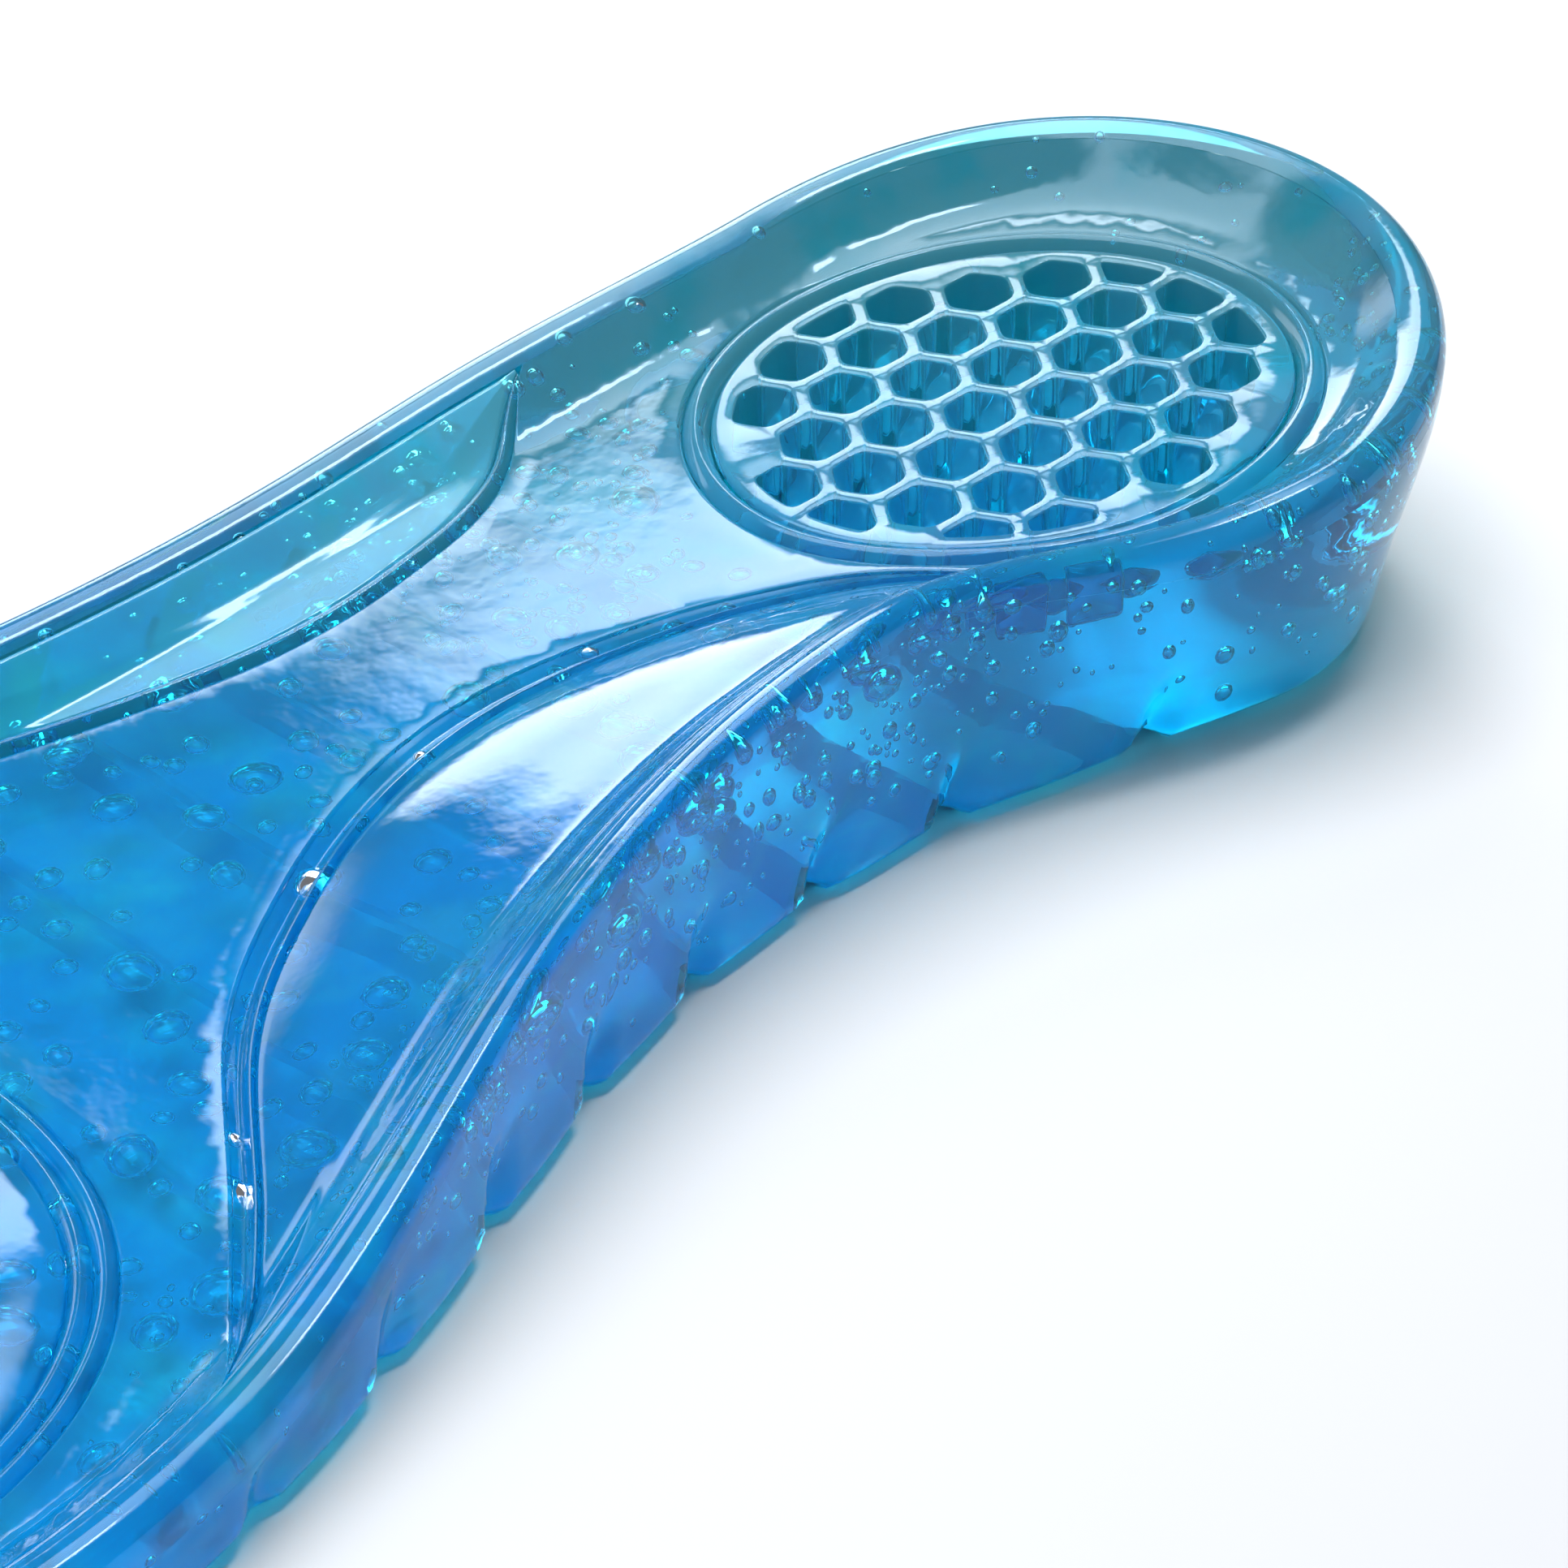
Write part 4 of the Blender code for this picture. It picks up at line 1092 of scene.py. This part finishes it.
def scatter(foot, rng, count, stations, sideways, depths, sizes, flat, margin=1.0, keep=None):
    """Random middles and radii, without those that leave the gel or meet an earlier one."""
    s = foot.size
    station = rng.uniform(*stations, count)
    y = station - foot.centre[1]
    left = np.interp(y, foot.inner[:, 1], foot.inner[:, 0])
    right = np.interp(y, foot.outer[:, 1], foot.outer[:, 0])
    share = rng.uniform(*sideways, count)
    points = np.column_stack([left + (right - left) * share, y])
    size = sizes[0] + (sizes[1] - sizes[0]) * rng.random(count) ** SIZE_POWER
    high = size * rng.uniform(flat[0], flat[1], count)
    depth = depths[0] + (depths[1] - depths[0]) * rng.random(count) ** DEPTH_POWER
    z = foot.top(points) - BUBBLE_COVER - high - depth
    ground = foot.groove_depth(station) * groove_share(station, groove_places(foot)) + BUBBLE_FLOOR + high
    lean = np.clip(LEAN_UNDER - z, 0, LEAN_MOST) * BUBBLE_LEAN
    good = (z > ground) & (inset_of(points, foot.outline) > size + margin + lean)
    if keep is not None:
        good &= keep(points, z, size)
    centres, size, high = np.column_stack([points, z])[good], size[good], high[good]
    apart = np.linalg.norm(centres[:, None] - centres[None], axis=2)
    meets = np.tril(apart < (size[:, None] + size[None]) * BUBBLE_APART, -1).any(axis=1)
    size, high = size[~meets], high[~meets]
    stretch = rng.uniform(0.75, 1.0, len(size))
    return centres[~meets], np.column_stack([size, size * stretch, high])


def clear_of_heel_pad(foot):
    """True for bubbles outside the heel ring."""
    ring = foot.heel_oval(-0.6)
    return lambda points, z, size: inset_of(points, ring) < -size


def bubble_regions(foot):
    heel = clear_of_heel_pad(foot)
    return {
        "bubbles_in_middle": dict(count=1900, stations=(62, 262), sideways=(0.1, 0.9), depths=(0.0, 2.2),
                                  sizes=(0.9, 2.9), flat=(0.42, 0.65), keep=heel),
        "bubbles_by_heel": dict(count=260, stations=(48, 92), sideways=(0.5, 0.95), depths=(0.0, 5.0),
                                sizes=(0.3, 1.3), flat=(0.6, 0.95), keep=heel),
        "bubbles_in_side_wall": dict(count=1500, stations=(6, 250), sideways=(0.0, 0.22), depths=(1.5, 16.0),
                                     sizes=(0.25, 0.95), flat=(0.7, 1.1), keep=heel),
        "bubbles_in_cup_wall": dict(count=60, stations=(3, 40), sideways=(0.02, 0.98), depths=(0.4, 2.0),
                                    sizes=(0.3, 0.75), flat=(0.8, 1.2), keep=heel),
        "bubbles_in_wing": dict(count=150, stations=(74, 150), sideways=(0.8, 0.97), depths=(0.0, 2.5),
                                sizes=(0.4, 1.9), flat=(0.5, 0.8)),
    }


def ellipsoids(name, centres, radii, rng):
    """One mesh of many ellipsoids: a ball scaled by each one's radii, turned about the upright, and moved."""
    ball = bmesh.new()
    bmesh.ops.create_icosphere(ball, subdivisions=2, radius=1.0)
    shape = np.array([vert.co[:] for vert in ball.verts])
    shape_faces = np.array([[vert.index for vert in face.verts] for face in ball.faces])
    ball.free()
    turn = rng.uniform(0, np.pi, len(centres))
    spin = np.zeros((len(centres), 3, 3))
    spin[:, 0, 0] = spin[:, 1, 1] = np.cos(turn)
    spin[:, 0, 1], spin[:, 1, 0], spin[:, 2, 2] = -np.sin(turn), np.sin(turn), 1.0
    points = np.einsum("nij,nkj->nki", spin, shape[None] * radii[:, None, :]) + centres[:, None, :]
    faces = shape_faces[None] + (np.arange(len(centres)) * len(shape))[:, None, None]
    mesh = bpy.data.meshes.new(name)
    mesh.from_pydata((points.reshape(-1, 3) * MM).tolist(), [], faces.reshape(-1, 3).tolist())
    mesh.shade_smooth()
    mesh.materials.append(bubble_material())
    thing = bpy.data.objects.new(name, mesh)
    bpy.context.scene.collection.objects.link(thing)
    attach(thing, "root")


class INSOLE_OT_stage(bpy.types.Operator):
    """Stage: a pale floor with painted shade on the arch's side, a dim studio sky with soft boxes of light,
    and the camera
    """
    bl_idname = "insole.stage"
    bl_label = "Stage"
    bl_options = {"REGISTER", "UNDO"}

    def execute(self, context):
        scene = context.scene
        self.floor(scene)
        self.sky(scene)
        self.camera(scene)
        scene.view_settings.view_transform = "Standard"
        cycles = scene.cycles
        cycles.max_bounces = cycles.transmission_bounces = 20
        cycles.transparent_max_bounces = 48
        return {"FINISHED"}

    def floor(self, scene):
        """A wide sheet of paper under the insole, with painted shade: darker on the arch's side and lighter
        beyond the insole.
        """
        look, half = scene.insole_look, FLOOR_HALF * MM
        mesh = bpy.data.meshes.new("studio_floor")
        corners = [(-half, -half), (half, -half), (half, half), (-half, half)]
        mesh.from_pydata([(x, y, FLOOR_LEVEL * MM) for x, y in corners], [], [(0, 1, 2, 3)])
        material = bpy.data.materials.new("floor_paper_painted_shade")
        tree = Tree(material)
        # Painted shade: the floor's colour darkens toward the near, arch side
        across = tree.node("ShaderNodeSeparateXYZ", inputs={0: tree.place()}, output=0)
        share = tree.step(across, *(edge * MM for edge in FLOOR_SHADE_BLEND))
        colour = tree.mix(share, (*look.floor, 1.0), (*look.lit_far_floor, 1.0))
        paper = tree.node("ShaderNodeBsdfPrincipled",
                          inputs={"Base Color": colour, "Roughness": 0.55, "IOR": 1.3})
        tree.node("ShaderNodeOutputMaterial", inputs={"Surface": paper})
        mesh.materials.append(material)
        floor = bpy.data.objects.new("studio_floor", mesh)
        scene.collection.objects.link(floor)

    def sky(self, scene):
        """Sky brightness: an even base plus soft boxes, each bright within its two half widths."""
        world = bpy.data.worlds.new("studio_sky")
        scene.world = world
        tree = Tree(world)
        way = tree.node("ShaderNodeTexCoord", output=0)
        bright = SKY_BASE
        for turn, height, half_width, half_height, soft, lean, strength in GLOWS:
            turn, height = math.radians(turn), math.radians(height)
            level = Vector((math.cos(turn), math.sin(turn), 0.0))
            toward = level * math.cos(height) + Vector((0.0, 0.0, math.sin(height)))
            across = Matrix.Rotation(math.radians(lean), 3, toward) @ Vector((-level.y, level.x, 0.0))
            glow = strength
            for side, half in ((across, half_width), (toward.cross(across), half_height)):
                away = tree.dot(way, side).math("ABSOLUTE", 0.0)
                outer, inner = math.radians(half + soft / 2), math.radians(half - soft / 2)
                glow = tree.step(away, math.sin(outer), math.sin(inner)) * glow
            bright = glow * tree.dot(way, toward).math("GREATER_THAN", 0.0) + bright
        light = tree.node("ShaderNodeBackground", inputs={"Color": SKY_COLOUR, "Strength": bright})
        tree.node("ShaderNodeOutputWorld", inputs={"Surface": light})

    def camera(self, scene):
        """Camera at its own place, looking along its own line, level with the horizon."""
        camera = bpy.data.objects.new("camera", bpy.data.cameras.new("camera"))
        scene.collection.objects.link(camera)
        camera.data.lens, camera.data.sensor_width = LENS, SENSOR
        camera.data.clip_start, camera.data.clip_end = 0.01, 50.0
        camera.location = Vector(CAMERA_PLACE) * MM
        camera.rotation_mode = "QUATERNION"
        camera.rotation_quaternion = Vector(CAMERA_LINE).to_track_quat("-Z", "Y")
        scene.camera = camera


class INSOLE_PT_panel(bpy.types.Panel):
    """Lists the insole's sizes, colours and pieces"""
    bl_idname = "INSOLE_PT_panel"
    bl_label = "Gel insole"
    bl_space_type = "VIEW_3D"
    bl_region_type = "UI"
    bl_category = "Insole"

    def draw(self, context):
        scene = context.scene
        for group, kind in ((scene.insole_sizes, InsoleSizes), (scene.insole_look, InsoleLook)):
            box = self.layout.box()
            for name in kind.__annotations__:
                box.prop(group, name)
        for operator in PIECES:
            self.layout.operator(operator.bl_idname)


PIECES = (INSOLE_OT_base, INSOLE_OT_footbed, INSOLE_OT_rim, INSOLE_OT_heel, INSOLE_OT_arch, INSOLE_OT_wing,
          INSOLE_OT_forefoot, INSOLE_OT_bubbles, INSOLE_OT_stage)
CLASSES = (InsoleSizes, InsoleLook, *PIECES, INSOLE_PT_panel)


def register():
    for kind in CLASSES:
        bpy.utils.register_class(kind)
    bpy.types.Scene.insole_sizes = bpy.props.PointerProperty(type=InsoleSizes)
    bpy.types.Scene.insole_look = bpy.props.PointerProperty(type=InsoleLook)


def unregister():
    del bpy.types.Scene.insole_look
    del bpy.types.Scene.insole_sizes
    for kind in reversed(CLASSES):
        bpy.utils.unregister_class(kind)


def main():
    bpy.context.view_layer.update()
    register()
    for piece in PIECES:
        group, name = piece.bl_idname.split(".")
        getattr(getattr(bpy.ops, group), name)()


if __name__ == "__main__":
    main()
